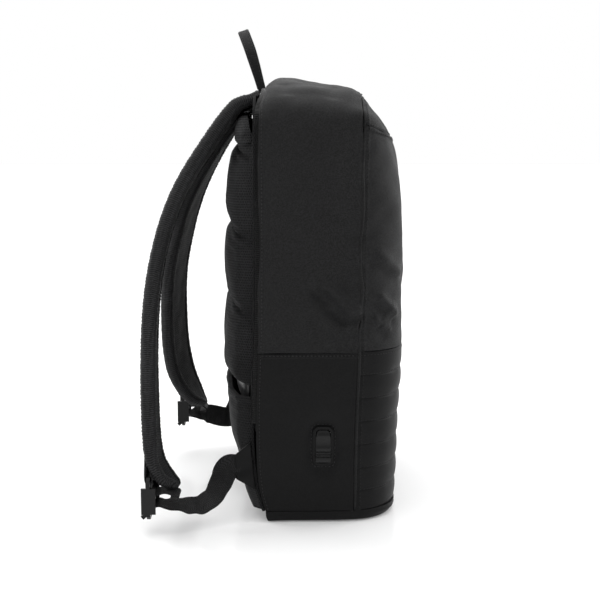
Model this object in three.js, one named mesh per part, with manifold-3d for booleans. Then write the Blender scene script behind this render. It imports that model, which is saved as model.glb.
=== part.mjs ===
// A laptop backpack that stands on its base, built from sewn panels, pads, webbing and buckles.
// Millimetres. +Z is up, the bag's front faces -Y and the wearer's back is on the +Y side.
// The origin is the middle of the base face, and "left" is the wearer's left, on the -X side.
import * as THREE from "three";
import { mergeVertices } from "three/addons/utils/BufferGeometryUtils.js";
import Module from "manifold-3d";

const wasm = await Module();
wasm.setup();

// Driving sizes of the body
const bodyWidth = 297;
const bodyHeight = 456;
const mainDepth = 98;
const pocketDepth = 50;
const backEdgeY = 75;
const shoulderRadius = 52;
const topCrown = 7;
const sideSwell = 2.5;
const frontCrown = 4;
const pocketInset = 1.5;
const pocketCornerWidth = 48;
const wall = 3;
const seamGap = 0.4;
const sidePanelHeight = 175.5;
const baseRimHeight = 12;
const baseEdgeInset = 6;
const baseThickness = 3;
const ribPitch = 24.1;
const ribCount = 6;
const ribDepth = 2;
const ribHalfWidth = 4;
const yokeDip = 17;
const yokeBelowTop = 52;

// Driving sizes of the back
const grooveWidth = 2.3;
const boardThickness = 3;
const boardBow = 7;
const boardRelief = 0.8;
const padEdgeInset = 9;
const padHeight = 25;
const padEdgeThickness = 2;
const padSkin = 6;
const padShoulder = 46;
const creaseDepth = 8;
const creaseHalfWidth = 10;
const creaseLevelWidth = 124;
const creaseSlope = 0.31;
const padTopMargin = 22;
const passOpening = 12;
const sleeveHeight = 140;
const sleeveSkin = 5;
const sleeveEdgeInset = 5;
const sleeveFoot = 12;
const liningDepth = 44;
const liningSkin = 2.5;

// Driving sizes of the zip, straps, handle and fittings
const zipTapeInset = 4.1;
const zipTapeThickness = 1.4;
const zipTapeWidth = 13;
const zipEndHeight = 96;
const strapReach = 115;
const strapWidth = 64;
const strapThickness = 13.5;
const strapSpacing = 150;
const webbingWidth = 25;
const webbingThickness = 1.6;
const handleSpan = 92;
const handleRise = 62;
const handleLean = 20;
const handleWidth = 12;
const handleThickness = 3.6;
const buckleWidth = 35;
const buckleLength = 42;
const buckleThickness = 3.6;
const buckleBar = 4;
const gussetReach = 17;
const gussetHeight = 50;
const gussetCentreZ = 59;
const portWidth = 17;
const portHeight = 37;
const portCentreZ = 81;
const portBehindSeam = 31;

const halfWidth = bodyWidth / 2;
const yokeHeight = bodyHeight - yokeBelowTop;
const seamY = backEdgeY - mainDepth;
const clearance = seamGap;

// Side view of the body: at is a share of bodyHeight, back and seam are shares of mainDepth
// (back edge from the front seam, and the seam's own shift), front is a share of pocketDepth.
const sideProfile = [
  { at: 0.0, back: 0.908, seam: 0.035, front: 0.83 },
  { at: 0.028, back: 0.945, seam: 0.035, front: 0.9 },
  { at: 0.066, back: 1.0, seam: 0.035, front: 0.93 },
  { at: 0.125, back: 1.031, seam: 0.035, front: 0.95 },
  { at: 0.24, back: 1.036, seam: 0.025, front: 0.96 },
  { at: 0.33, back: 1.026, seam: 0.01, front: 0.985 },
  { at: 0.47, back: 1.003, seam: 0.0, front: 0.96 },
  { at: 0.63, back: 1.0, seam: -0.01, front: 0.93 },
  { at: 0.77, back: 1.0, seam: -0.02, front: 0.84 },
  { at: 0.84, back: 1.0, seam: -0.03, front: 0.7 },
  { at: 0.875, back: 1.0, seam: -0.035, front: 0.54 },
  { at: 0.9, back: 1.0, seam: -0.035, front: 0.38 },
  { at: 0.925, back: 1.0, seam: -0.035, front: 0.21 },
  { at: 0.945, back: 1.0, seam: -0.035, front: 0.08 },
  { at: 0.96, back: 1.0, seam: -0.035, front: 0.0 },
];

// Top of the body from front to back: depth is a share of mainDepth from the front seam,
// drop a share of bodyHeight below the crest.
const topProfile = [
  { depth: -0.04, drop: 0.038 },
  { depth: 0.02, drop: 0.027 },
  { depth: 0.08, drop: 0.021 },
  { depth: 0.25, drop: 0.016 },
  { depth: 0.5, drop: 0.009 },
  { depth: 0.76, drop: 0.0 },
  { depth: 0.88, drop: 0.01 },
  { depth: 0.95, drop: 0.024 },
  { depth: 1.04, drop: 0.037 },
];

// Soft dents of the shoulder and top: across is a share of bodyWidth, depth of mainDepth,
// size of shoulderRadius and sink of sideSwell.
const topDents = [
  { across: -0.36, depth: 0.62, size: 0.55, sink: 1.5 },
  { across: -0.3, depth: 0.2, size: 0.5, sink: 1.1 },
  { across: 0.1, depth: 0.35, size: 0.8, sink: 0.9 },
  { across: 0.36, depth: 0.55, size: 0.6, sink: 1.3 },
];

// Soft dents of the two sides: side is -1 for left, depth a share of mainDepth, up of bodyHeight,
// size of shoulderRadius and sink of sideSwell.
const sideDents = [
  { side: -1, depth: 0.16, up: 0.46, size: 0.75, sink: 1.5 },
  { side: -1, depth: 0.58, up: 0.7, size: 1.1, sink: 0.8 },
  { side: 1, depth: 0.24, up: 0.49, size: 0.8, sink: 1.4 },
  { side: 1, depth: 0.62, up: 0.68, size: 1.1, sink: 0.8 },
];

// Folds of the front panel: across is a share of bodyWidth, up of bodyHeight, wide and tall of
// pocketCornerWidth and sink of frontCrown; slant leans a fold, in widths per height.
const frontFolds = [
  { across: -0.37, up: 0.47, wide: 0.3, tall: 1.1, slant: 0.35, sink: 0.75 },
  { across: -0.22, up: 0.43, wide: 0.4, tall: 0.8, slant: 0.5, sink: 0.5 },
  { across: 0.05, up: 0.8, wide: 1.2, tall: 0.5, slant: 0.0, sink: 0.4 },
  { across: 0.25, up: 0.45, wide: 0.45, tall: 0.9, slant: -0.5, sink: 0.5 },
  { across: 0.38, up: 0.5, wide: 0.3, tall: 1.2, slant: -0.35, sink: 0.75 },
];

// Creases of the back pad at its middle, as shares of bodyHeight.
const padCreases = [0.853, 0.678, 0.509];

// Side view of the luggage sleeve: at is a share of sleeveHeight, stand a share of padHeight.
const sleeveProfile = [
  { at: 0.0, stand: 0.34 },
  { at: 0.12, stand: 0.32 },
  { at: 0.25, stand: 0.32 },
  { at: 0.4, stand: 0.36 },
  { at: 0.52, stand: 0.5 },
  { at: 0.64, stand: 0.62 },
  { at: 0.8, stand: 0.69 },
  { at: 1.0, stand: 0.72 },
];

// Shoulder pads from the top seam to the lower end: height is a share of bodyHeight, reach a share
// of strapReach past the back edge, across a share of strapSpacing, width of strapWidth,
// thick of strapThickness, and twist is in degrees about the pad's length.
const strapRows = {
  left: [
    { height: 0.938, reach: 0.07, across: 0.5, width: 0.98, thick: 0.7, twist: 0 },
    { height: 0.933, reach: 0.155, across: 0.5, width: 1.0, thick: 0.85, twist: 0 },
    { height: 0.909, reach: 0.255, across: 0.505, width: 1.0, thick: 0.95, twist: 0 },
    { height: 0.878, reach: 0.35, across: 0.515, width: 1.0, thick: 1.0, twist: 0 },
    { height: 0.84, reach: 0.455, across: 0.53, width: 1.0, thick: 1.0, twist: 0 },
    { height: 0.79, reach: 0.59, across: 0.555, width: 1.0, thick: 1.0, twist: 1 },
    { height: 0.738, reach: 0.71, across: 0.585, width: 1.0, thick: 1.0, twist: 2 },
    { height: 0.672, reach: 0.818, across: 0.625, width: 1.0, thick: 1.0, twist: 3 },
    { height: 0.606, reach: 0.892, across: 0.665, width: 0.98, thick: 1.0, twist: 4 },
    { height: 0.53, reach: 0.945, across: 0.72, width: 0.95, thick: 1.0, twist: 4 },
    { height: 0.462, reach: 0.968, across: 0.775, width: 0.92, thick: 1.0, twist: 4 },
    { height: 0.376, reach: 0.973, across: 0.855, width: 0.88, thick: 1.0, twist: 4 },
    { height: 0.29, reach: 0.962, across: 0.94, width: 0.84, thick: 0.98, twist: 3 },
    { height: 0.217, reach: 0.944, across: 1.01, width: 0.8, thick: 0.93, twist: 2 },
    { height: 0.182, reach: 0.928, across: 1.04, width: 0.77, thick: 0.86, twist: 1 },
    { height: 0.152, reach: 0.9, across: 1.065, width: 0.74, thick: 0.76, twist: 0 },
    { height: 0.129, reach: 0.852, across: 1.08, width: 0.69, thick: 0.7, twist: 0 },
    { height: 0.11, reach: 0.78, across: 1.09, width: 0.61, thick: 0.64, twist: 0 },
    { height: 0.1, reach: 0.7, across: 1.1, width: 0.42, thick: 0.45, twist: 0 },
  ],
  right: [
    { height: 0.938, reach: 0.07, across: 0.5, width: 0.98, thick: 0.7, twist: 0 },
    { height: 0.932, reach: 0.15, across: 0.5, width: 1.0, thick: 0.8, twist: 0 },
    { height: 0.909, reach: 0.245, across: 0.5, width: 1.0, thick: 0.85, twist: 0 },
    { height: 0.878, reach: 0.345, across: 0.5, width: 1.0, thick: 0.9, twist: 1 },
    { height: 0.84, reach: 0.45, across: 0.5, width: 1.0, thick: 0.95, twist: 2 },
    { height: 0.79, reach: 0.57, across: 0.5, width: 1.0, thick: 1.0, twist: 4 },
    { height: 0.738, reach: 0.675, across: 0.5, width: 1.0, thick: 1.0, twist: 6 },
    { height: 0.672, reach: 0.78, across: 0.5, width: 1.0, thick: 1.0, twist: 9 },
    { height: 0.606, reach: 0.85, across: 0.51, width: 0.98, thick: 1.0, twist: 10 },
    { height: 0.53, reach: 0.915, across: 0.52, width: 0.95, thick: 1.0, twist: 12 },
    { height: 0.462, reach: 0.942, across: 0.54, width: 0.92, thick: 1.0, twist: 14 },
    { height: 0.39, reach: 0.948, across: 0.56, width: 0.9, thick: 1.0, twist: 16 },
    { height: 0.318, reach: 0.94, across: 0.58, width: 0.87, thick: 1.0, twist: 18 },
    { height: 0.255, reach: 0.905, across: 0.6, width: 0.84, thick: 1.0, twist: 20 },
    { height: 0.21, reach: 0.845, across: 0.62, width: 0.8, thick: 0.98, twist: 18 },
    { height: 0.175, reach: 0.765, across: 0.635, width: 0.74, thick: 0.92, twist: 11 },
    { height: 0.153, reach: 0.69, across: 0.645, width: 0.64, thick: 0.8, twist: 4 },
    { height: 0.142, reach: 0.635, across: 0.65, width: 0.42, thick: 0.5, twist: 0 },
  ],
};

// Adjuster webbing from the corner gusset to the buckle: along is the share of the way, sag the
// height under the straight line as a share of gussetHeight, and turn the width's twist in degrees.
const webbingRows = {
  left: [
    { along: 0.0, sag: 0.0, turn: -88 },
    { along: 0.06, sag: -0.03, turn: -85 },
    { along: 0.11, sag: 0.03, turn: -78 },
    { along: 0.16, sag: 0.18, turn: -66 },
    { along: 0.22, sag: 0.34, turn: -54 },
    { along: 0.3, sag: 0.46, turn: -42 },
    { along: 0.42, sag: 0.48, turn: -30 },
    { along: 0.55, sag: 0.39, turn: -18 },
    { along: 0.7, sag: 0.24, turn: -8 },
    { along: 0.85, sag: 0.1, turn: -2 },
    { along: 0.95, sag: 0.01, turn: 0 },
  ],
  right: [
    { along: 0.0, sag: 0.0, turn: 88 },
    { along: 0.08, sag: -0.01, turn: 87 },
    { along: 0.16, sag: 0.2, turn: 80 },
    { along: 0.25, sag: 0.38, turn: 76 },
    { along: 0.38, sag: 0.34, turn: 72 },
    { along: 0.52, sag: 0.22, turn: 64 },
    { along: 0.66, sag: 0.11, turn: 48 },
    { along: 0.79, sag: 0.04, turn: 26 },
    { along: 0.9, sag: 0.0, turn: 8 },
    { along: 0.96, sag: 0.0, turn: 0 },
  ],
};

// Slots of the buckle, as shares of buckleLength above its lower end, and the free tail's path
// from the middle slot: out and up are shares of buckleLength from the buckle's middle.
const buckleSlots = [
  { low: 0.15, high: 0.35 },
  { low: 0.46, high: 0.65 },
  { low: 0.76, high: 0.9 },
];
const tailRows = [
  { out: -0.2, up: 0.07 },
  { out: -0.42, up: 0.09 },
  { out: -0.6, up: 0.05 },
  { out: -0.69, up: -0.03 },
  { out: -0.62, up: -0.09 },
  { out: -0.47, up: -0.1 },
];

// Value of a column between the rows of a table, on a smooth curve through them.
function lookup(rows, key, column, value) {
  const last = rows.length - 1;
  if (value <= rows[0][key]) return rows[0][column];
  if (value >= rows[last][key]) return rows[last][column];
  const i = rows.findIndex((row, n) => value < rows[n + 1][key]);
  const slope = (n) => {
    const a = rows[Math.max(n - 1, 0)];
    const b = rows[Math.min(n + 1, last)];
    return (b[column] - a[column]) / (b[key] - a[key]);
  };
  const span = rows[i + 1][key] - rows[i][key];
  const t = (value - rows[i][key]) / span;
  const t2 = t * t;
  const t3 = t2 * t;
  return (
    (2 * t3 - 3 * t2 + 1) * rows[i][column] +
    (t3 - 2 * t2 + t) * span * slope(i) +
    (3 * t2 - 2 * t3) * rows[i + 1][column] +
    (t3 - t2) * span * slope(i + 1)
  );
}

const smooth = (t) => THREE.MathUtils.smoothstep(t, 0, 1);
const profile = (column, z) => lookup(sideProfile, "at", column, z / bodyHeight);
const backEdgeAt = (z) => seamY + mainDepth * profile("back", z);
const seamAt = (z) => seamY + mainDepth * profile("seam", z);
const frontAt = (z) => seamAt(z) - pocketDepth * profile("front", z);
// Board's inner face at its edge: a zip groove separates it from the side above the zip's end.
function boardEdgeAt(z) {
  const groove = smooth((z - zipEndHeight) / baseRimHeight + 2.5);
  return backEdgeAt(z) + clearance + (grooveWidth - clearance) * groove;
}

// Rounded quarter profile: 0 at the edge, 1 from one radius inwards.
const roundEdge = (share) => Math.sqrt(1 - (1 - THREE.MathUtils.clamp(share, 0, 1)) ** 2);

// A closed body from two grids of points, one for each face. Rows are arrays of Vector3.
function solidFromGrids(face, underside) {
  const rows = face.length;
  const columns = face[0].length;
  const count = rows * columns;
  const points = [...face.flat(), ...underside.flat()];
  const at = (i, j, under) => (under ? count : 0) + i * columns + j;
  const triangles = [];
  const quad = (a, b, c, d) => triangles.push(a, b, c, a, c, d);
  for (let i = 0; i + 1 < rows; i++)
    for (let j = 0; j + 1 < columns; j++) {
      quad(at(i, j, 0), at(i, j + 1, 0), at(i + 1, j + 1, 0), at(i + 1, j, 0));
      quad(at(i, j, 1), at(i + 1, j, 1), at(i + 1, j + 1, 1), at(i, j + 1, 1));
    }
  for (let j = 0; j + 1 < columns; j++) {
    quad(at(0, j, 1), at(0, j + 1, 1), at(0, j + 1, 0), at(0, j, 0));
    quad(at(rows - 1, j, 0), at(rows - 1, j + 1, 0), at(rows - 1, j + 1, 1), at(rows - 1, j, 1));
  }
  for (let i = 0; i + 1 < rows; i++) {
    quad(at(i, 0, 0), at(i + 1, 0, 0), at(i + 1, 0, 1), at(i, 0, 1));
    quad(at(i, columns - 1, 1), at(i + 1, columns - 1, 1), at(i + 1, columns - 1, 0), at(i, columns - 1, 0));
  }
  return closedGeometry(points, triangles);
}

// A closed body from rings of points with a flat or fanned cap at each end.
function solidFromRings(rings, firstPole, lastPole) {
  const sides = rings[0].length;
  const points = [...rings.flat(), firstPole, lastPole];
  const triangles = [];
  for (let i = 0; i + 1 < rings.length; i++)
    for (let j = 0; j < sides; j++) {
      const next = (j + 1) % sides;
      const [a, b] = [i * sides + j, i * sides + next];
      triangles.push(a, b, b + sides, a, b + sides, a + sides);
    }
  const end = (rings.length - 1) * sides;
  for (let j = 0; j < sides; j++) {
    const next = (j + 1) % sides;
    triangles.push(points.length - 2, next, j);
    triangles.push(points.length - 1, end + j, end + next);
  }
  return closedGeometry(points, triangles);
}

// Geometry with its faces turned outwards, whichever way its grid ran.
function closedGeometry(points, triangles) {
  let volume = 0;
  for (let i = 0; i < triangles.length; i += 3) {
    const [a, b, c] = [points[triangles[i]], points[triangles[i + 1]], points[triangles[i + 2]]];
    volume += a.dot(new THREE.Vector3().crossVectors(b, c));
  }
  const index = volume < 0 ? triangles.toReversed() : triangles;
  const geometry = new THREE.BufferGeometry().setFromPoints(points);
  geometry.setIndex(index);
  return geometry;
}

// Points of a surface on a grid.
function surfaceGrid(surface, rows, columns) {
  return rows.map((row) => columns.map((column) => surface(row, column)));
}

// A sheet's inner grid: each point moved inwards along the normal of the surface itself.
function innerGrid(surface, rows, columns, thickness) {
  const nudge = 0.02;
  return rows.map((row) =>
    columns.map((column) => {
      const left = surface(row, Math.max(column - nudge, -1));
      const right = surface(row, Math.min(column + nudge, 1));
      const lower = surface({ ...row, level: row.level - 1 }, column);
      const upper = surface({ ...row, level: row.level + 1 }, column);
      const inwards = upper.sub(lower).cross(right.sub(left)).normalize();
      const point = surface(row, column);
      inwards.y *= smooth((seamAt(point.z) - point.y) / (2 * thickness));
      return point.addScaledVector(inwards.normalize(), thickness);
    }),
  );
}

const steps = (from, to, count) => Array.from({ length: count + 1 }, (_, i) => from + ((to - from) * i) / count);

// Body outline across the bag, as an upside-down U: run is the length from the left foot.
const shoulderStart = bodyHeight - topCrown - shoulderRadius;
const shoulderLength = (shoulderRadius * Math.PI) / 2;
const flatLength = bodyWidth - 2 * shoulderRadius;
const outlineLength = 2 * shoulderStart + 2 * shoulderLength + flatLength;

function outlineAt(run) {
  const mirrored = run > outlineLength / 2;
  const length = mirrored ? outlineLength - run : run;
  const turned = THREE.MathUtils.clamp((length - shoulderStart) / shoulderRadius, 0, Math.PI / 2);
  const past = Math.max(length - shoulderStart - shoulderLength, 0);
  const swell = sideSwell * Math.sin((Math.PI * Math.min(length, shoulderStart)) / shoulderStart);
  const x = -halfWidth - swell + shoulderRadius * (1 - Math.cos(turned)) + past;
  const crown = topCrown * (1 - (1 - past / (flatLength / 2)) ** 2);
  const z = Math.min(length, shoulderStart) + shoulderRadius * Math.sin(turned) + crown;
  const nx = -Math.cos(turned);
  return { x: mirrored ? -x : x, z, nx: mirrored ? -nx : nx, nz: Math.sin(turned) };
}

// A point of the body's side or top at a depth, moved inwards from the outer face by inset.
function shellPoint(run, y, inset) {
  const edge = outlineAt(run);
  const depth = (y - seamY) / mainDepth;
  const rise = smooth((edge.z - shoulderStart) / shoulderRadius);
  const drop = bodyHeight * lookup(topProfile, "depth", "drop", depth) * rise;
  let dent = 0;
  const inside = sideSwell * smooth(Math.min(depth, 1 - depth) * 5);
  const hollow = (row, across) => {
    const away = Math.hypot(across, y - seamY - row.depth * mainDepth);
    return inside * row.sink * Math.exp(-((away / (row.size * shoulderRadius)) ** 2));
  };
  for (const row of topDents) dent += rise * hollow(row, edge.x - row.across * bodyWidth);
  for (const row of sideDents)
    if (edge.x * row.side > 0) dent += (1 - rise) * hollow(row, edge.z - row.up * bodyHeight);
  const sink = inset + dent;
  return new THREE.Vector3(edge.x - edge.nx * sink, y, edge.z - drop - edge.nz * sink);
}

// Top back edge of the side and top panel: it stops short of the board above the shoulders.
const topSetBack = 6;
const topShares = [0, 0.1, 0.35, 0.62, 0.8, 0.91, 1];
const lowLevels = steps(baseRimHeight + clearance, sidePanelHeight, 8);
function shellBackAt(z) {
  return backEdgeAt(z) - topSetBack * smooth((2 * (z - shoulderStart)) / shoulderRadius - 1);
}

function shellSheet(runs, fromY, toY, shares, inset, thickness) {
  const place = (run, share, sink) => {
    const { z } = outlineAt(run);
    return shellPoint(run, THREE.MathUtils.lerp(fromY(z), toY(z), share), sink);
  };
  const face = surfaceGrid((run, share) => place(run, share, inset), runs, shares);
  const underside = surfaceGrid((run, share) => place(run, share, inset + thickness), runs, shares);
  return solidFromGrids(face, underside);
}

// Runs along the outline: the given levels on both flats, then round the shoulders and over the top.
function outlineRuns(levels, shoulderSteps, topSteps) {
  const left = [
    ...levels,
    ...steps(shoulderStart, shoulderStart + shoulderLength, shoulderSteps).slice(1),
  ];
  const top = steps(shoulderStart + shoulderLength, outlineLength - shoulderStart - shoulderLength, topSteps);
  const right = left.map((run) => outlineLength - run).reverse();
  return [...left, ...top.slice(1, -1), ...right];
}

// Height of the body's outline above a point across the bag, for the front pocket or the board.
function outlineTop(x, inset, drop) {
  const flatHalf = halfWidth - shoulderRadius;
  const over = Math.max(Math.abs(x) - flatHalf, 0);
  const radius = shoulderRadius - inset;
  const side = Math.sqrt(Math.max(radius ** 2 - over ** 2, 0));
  const crown = topCrown * (1 - Math.min(Math.abs(x) / flatHalf, 1) ** 2);
  return shoulderStart + side + crown - drop * smooth(side / shoulderRadius);
}

// A row across a front or back panel: follow is 0 for a level row and 1 for one along the outline.
function rowHeight(x, level, follow, inset, drop) {
  const top = outlineTop(x, inset, drop);
  return level - follow * (outlineTop(0, inset, drop) - top);
}

// Columns across a panel, closer together towards its two edges.
const columnShares = (count) => steps(-1, 1, count).map((s) => Math.sin((s * Math.PI) / 2));

// The front edge of the side and top panels.
const frontEdge = (z) => seamAt(z) + clearance;

// The front pocket's surface.
const pocketHalf = halfWidth - pocketInset;
const pocketDrop = bodyHeight * lookup(topProfile, "depth", "drop", profile("seam", bodyHeight));

// Half of the pocket's width at a height: swollen on the flats, then inside the rounded shoulder.
function pocketHalfAt(z) {
  const swell = sideSwell * Math.sin((Math.PI * Math.min(z, shoulderStart)) / shoulderStart);
  if (z <= shoulderStart) return pocketHalf + swell;
  const [radius, flatHalf] = [shoulderRadius - pocketInset, halfWidth - shoulderRadius];
  const sideTop = (side) => shoulderStart + side - pocketDrop * smooth(side / shoulderRadius);
  if (z >= sideTop(radius)) return flatHalf * Math.sqrt(Math.max(1 - (z - sideTop(radius)) / topCrown, 0));
  let [low, high] = [0, radius];
  for (let i = 0; i < 24; i++) {
    const middle = (low + high) / 2;
    if (sideTop(middle) < z) low = middle;
    else high = middle;
  }
  return flatHalf + Math.sqrt(radius ** 2 - low ** 2);
}

function pocketPoint(share, level, follow, ribbed) {
  const z = rowHeight(share * pocketHalf, level, follow, pocketInset, pocketDrop);
  const half = pocketHalfAt(z);
  const x = z > shoulderStart ? Math.sign(share) * Math.min(Math.abs(share) * pocketHalf, half) : share * half;
  const room = half - Math.abs(x);
  const round = roundEdge(room / pocketCornerWidth);
  const crown = frontCrown * (1 - share ** 2) * smooth(profile("front", z));
  const groove = ribbed ? ribDepth * ribGroove(z) * smooth(room / pocketCornerWidth) : frontFold(x, z) * round;
  const y = seamAt(z) + (frontAt(z) - seamAt(z)) * round - crown * round + groove;
  return new THREE.Vector3(x, y, z);
}

// How deep the soft folds are at a point of the upper front panel; none at its lower seam.
function frontFold(x, z) {
  let sink = 0;
  for (const row of frontFolds) {
    const up = z - row.up * bodyHeight;
    const across = x - row.across * bodyWidth - row.slant * up;
    const [wide, tall] = [row.wide * pocketCornerWidth, row.tall * pocketCornerWidth];
    sink += row.sink * frontCrown * Math.exp(-((across / wide) ** 2) - (up / tall) ** 2);
  }
  return sink * smooth((z - ribTop) / (ribPitch * 1.5)) * smooth((yokeHeight - yokeDip - z) / ribPitch);
}

const ribTop = sidePanelHeight + ribDepth;
const ribLevels = Array.from({ length: ribCount }, (_, i) => ribTop - ribPitch * (i + 1));
function ribGroove(z) {
  const nearest = Math.min(...ribLevels.map((level) => Math.abs(z - level)));
  return Math.max(1 - nearest / ribHalfWidth, 0);
}

// Rows are pairs of a level at the middle and how far the row follows the outline.
function pocketSheet(rows, columns, ribbed) {
  const surface = (row, share) => pocketPoint(share, row.level, row.follow, ribbed);
  const shares = columnShares(columns);
  return solidFromGrids(surfaceGrid(surface, rows, shares), innerGrid(surface, rows, shares, wall));
}

const level = (value, follow = 0) => ({ level: value, follow });

function frontLowerRows() {
  const rows = [level(baseRimHeight + clearance), level((baseRimHeight + ribLevels.at(-1)) / 2)];
  for (const rib of ribLevels.toReversed()) {
    rows.push(level(rib - ribHalfWidth), level(rib), level(rib + ribHalfWidth));
    rows.push(level(rib + ribPitch / 2));
  }
  rows.push(level(ribTop - clearance / 2));
  return rows;
}

// Row blending from level rows to the yoke seam, and from there to the outline.
const pocketTop = outlineTop(0, pocketInset, pocketDrop);
const yokeFollow = -yokeDip / (pocketTop - outlineTop(pocketHalf, pocketInset, pocketDrop));

function frontUpperRows() {
  const seam = yokeHeight - yokeDip;
  return steps(0, 1, 10).map((share) =>
    level(THREE.MathUtils.lerp(ribTop + clearance / 2, seam - clearance / 2, share), yokeFollow * share ** 3),
  );
}

function yokeRows() {
  const seam = yokeHeight - yokeDip;
  return steps(0, 1, 6).map((share) =>
    level(THREE.MathUtils.lerp(seam + clearance, pocketTop, share), THREE.MathUtils.lerp(yokeFollow, 1, share)),
  );
}

// The base: a tray with a flat foot and a rim under the panels.
function baseTray() {
  const rim = baseRimHeight;
  const front = columnShares(16).map((share) => pocketPoint(share, rim, 0, false));
  const side = steps(0, 1, 5).slice(1, -1).map((share) => THREE.MathUtils.lerp(seamAt(rim), backEdgeAt(rim), share));
  const right = side.map((y) => new THREE.Vector3(outlineAt(outlineLength - rim).x, y, rim));
  const back = steps(1, -1, 6).map((share) => new THREE.Vector3(share * halfWidth, backEdgeAt(rim), rim));
  const left = side.toReversed().map((y) => new THREE.Vector3(outlineAt(rim).x, y, rim));
  const loop = [...front, ...right, ...back, ...left];
  const ring = (inset, z) =>
    loop.map((point, i) => {
      const [before, after] = [loop.at(i - 1), loop[(i + 1) % loop.length]];
      const along = after.clone().sub(before).setZ(0).normalize();
      return new THREE.Vector3(point.x - inset * along.y, point.y + inset * along.x, z);
    });
  const edge = baseEdgeInset;
  const rings = [
    ring(edge, 0),
    ring(edge * 0.35, edge * 0.25),
    ring(edge * 0.05, edge),
    ring(0, rim),
    ring(baseThickness, rim),
    ring(baseThickness + edge * 0.05, edge),
    ring(baseThickness + edge, baseThickness),
  ];
  return solidFromRings(rings, new THREE.Vector3(0, 0, 0), new THREE.Vector3(0, 0, baseThickness));
}

// The back board, bowed outwards over the whole back.
const boardDrop = bodyHeight * lookup(topProfile, "depth", "drop", 1);
const boardTop = outlineTop(0, 0, boardDrop);

function boardFace(x, z) {
  const bow = boardBow * (1 - (x / halfWidth) ** 2) * Math.sin(Math.PI * THREE.MathUtils.clamp(z / boardTop, 0, 1));
  return boardEdgeAt(z) + bow + boardThickness;
}

function boardSheet() {
  const upper = steps(sidePanelHeight, boardTop, 8).slice(1);
  const rows = [...lowLevels, ...upper].map((z) => level(z, (z / boardTop) ** 5));
  const place = (row, share, thickness) => {
    const x = share * halfWidth;
    const z = rowHeight(x, row.level, row.follow, 0, boardDrop);
    return new THREE.Vector3(x, boardFace(x, z) - thickness, z);
  };
  const shares = columnShares(12);
  return solidFromGrids(
    surfaceGrid((row, share) => place(row, share, 0), rows, shares),
    surfaceGrid((row, share) => place(row, share, boardThickness), rows, shares),
  );
}

// How far a crease has dropped at a point across the back: level in the middle, then sloping.
function chevron(x) {
  const past = Math.max(Math.abs(x) - creaseLevelWidth / 2, 0);
  return creaseSlope * (Math.hypot(past, creaseHalfWidth) - creaseHalfWidth);
}

// The sleeve's mouth drops less than the creases above it.
const mouthDip = (x) => 0.45 * chevron(x);

// A padded sheet on the board: stand gives its height over the board, and skin its own thickness.
function paddedSheet(rows, columns, half, heightAt, stand, skin) {
  const place = (row, share, under) => {
    const x = share * half;
    const z = heightAt(x, row);
    const foot = boardFace(x, z) + boardRelief;
    const face = foot + stand(x, z);
    return new THREE.Vector3(x, under ? Math.max(foot, face - skin) : face, z);
  };
  const shares = columnShares(columns);
  return solidFromGrids(
    surfaceGrid((row, share) => place(row, share, false), rows, shares),
    surfaceGrid((row, share) => place(row, share, true), rows, shares),
  );
}

// The back pad: four pillows between chevron creases.
const padHalf = halfWidth - padEdgeInset;
const passTop = sleeveHeight + passOpening;
const padFoot = (x) => passTop - mouthDip(x);
const padTop = (x) => outlineTop(x, padEdgeInset, boardDrop) - padTopMargin;

function padStand(x, z) {
  const side = roundEdge((padHalf - Math.abs(x)) / padShoulder);
  const ends = roundEdge((z - padFoot(x)) / creaseHalfWidth) * roundEdge((padTop(x) - z) / (2 * padShoulder));
  const away = Math.min(...padCreases.map((share) => Math.abs(z + chevron(x) - share * bodyHeight)));
  const crease = creaseDepth * Math.max(1 - away / creaseHalfWidth, 0) ** 1.5 * side;
  return padEdgeThickness + (padHeight - padEdgeThickness) * side * (0.35 + 0.65 * ends) - crease;
}

function backPad() {
  const lines = [...padCreases].reverse().map((share) => share * bodyHeight);
  const upper = padTop(0);
  const rows = [passTop, passTop + creaseHalfWidth / 3, passTop + creaseHalfWidth];
  for (const line of lines) {
    rows.push(...steps(rows.at(-1), line - creaseHalfWidth, 2).slice(1));
    rows.push(line, line + creaseHalfWidth);
  }
  rows.push(...steps(rows.at(-1), upper, 3).slice(1));
  const heightAt = (x, row) => {
    const low = smooth((row - passTop) / (lines[0] - creaseHalfWidth - passTop));
    const high = smooth((row - lines.at(-1)) / (upper - lines.at(-1)));
    const crease = row - THREE.MathUtils.lerp(mouthDip(x), chevron(x), low);
    return THREE.MathUtils.lerp(crease, row - (upper - padTop(x)), high);
  };
  return paddedSheet(rows, 14, padHalf, heightAt, padStand, padSkin);
}

// The luggage sleeve: a padded band over the lower back, open above and below.
const sleeveHalf = halfWidth - sleeveEdgeInset;
const sleeveTop = (x) => sleeveHeight - mouthDip(x);

function sleeveStand(x, z) {
  const side = roundEdge((sleeveHalf - Math.abs(x)) / padShoulder);
  const share = (z - sleeveFoot) / (sleeveTop(x) - sleeveFoot);
  const stand = padHeight * lookup(sleeveProfile, "at", "stand", share);
  return sleeveSkin + (stand - sleeveSkin * 0.2) * side;
}

function luggageSleeve() {
  const heightAt = (x, share) => THREE.MathUtils.lerp(sleeveFoot, sleeveTop(x), share);
  return paddedSheet(steps(0, 1, 9), 14, sleeveHalf, heightAt, sleeveStand, sleeveSkin);
}

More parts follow.
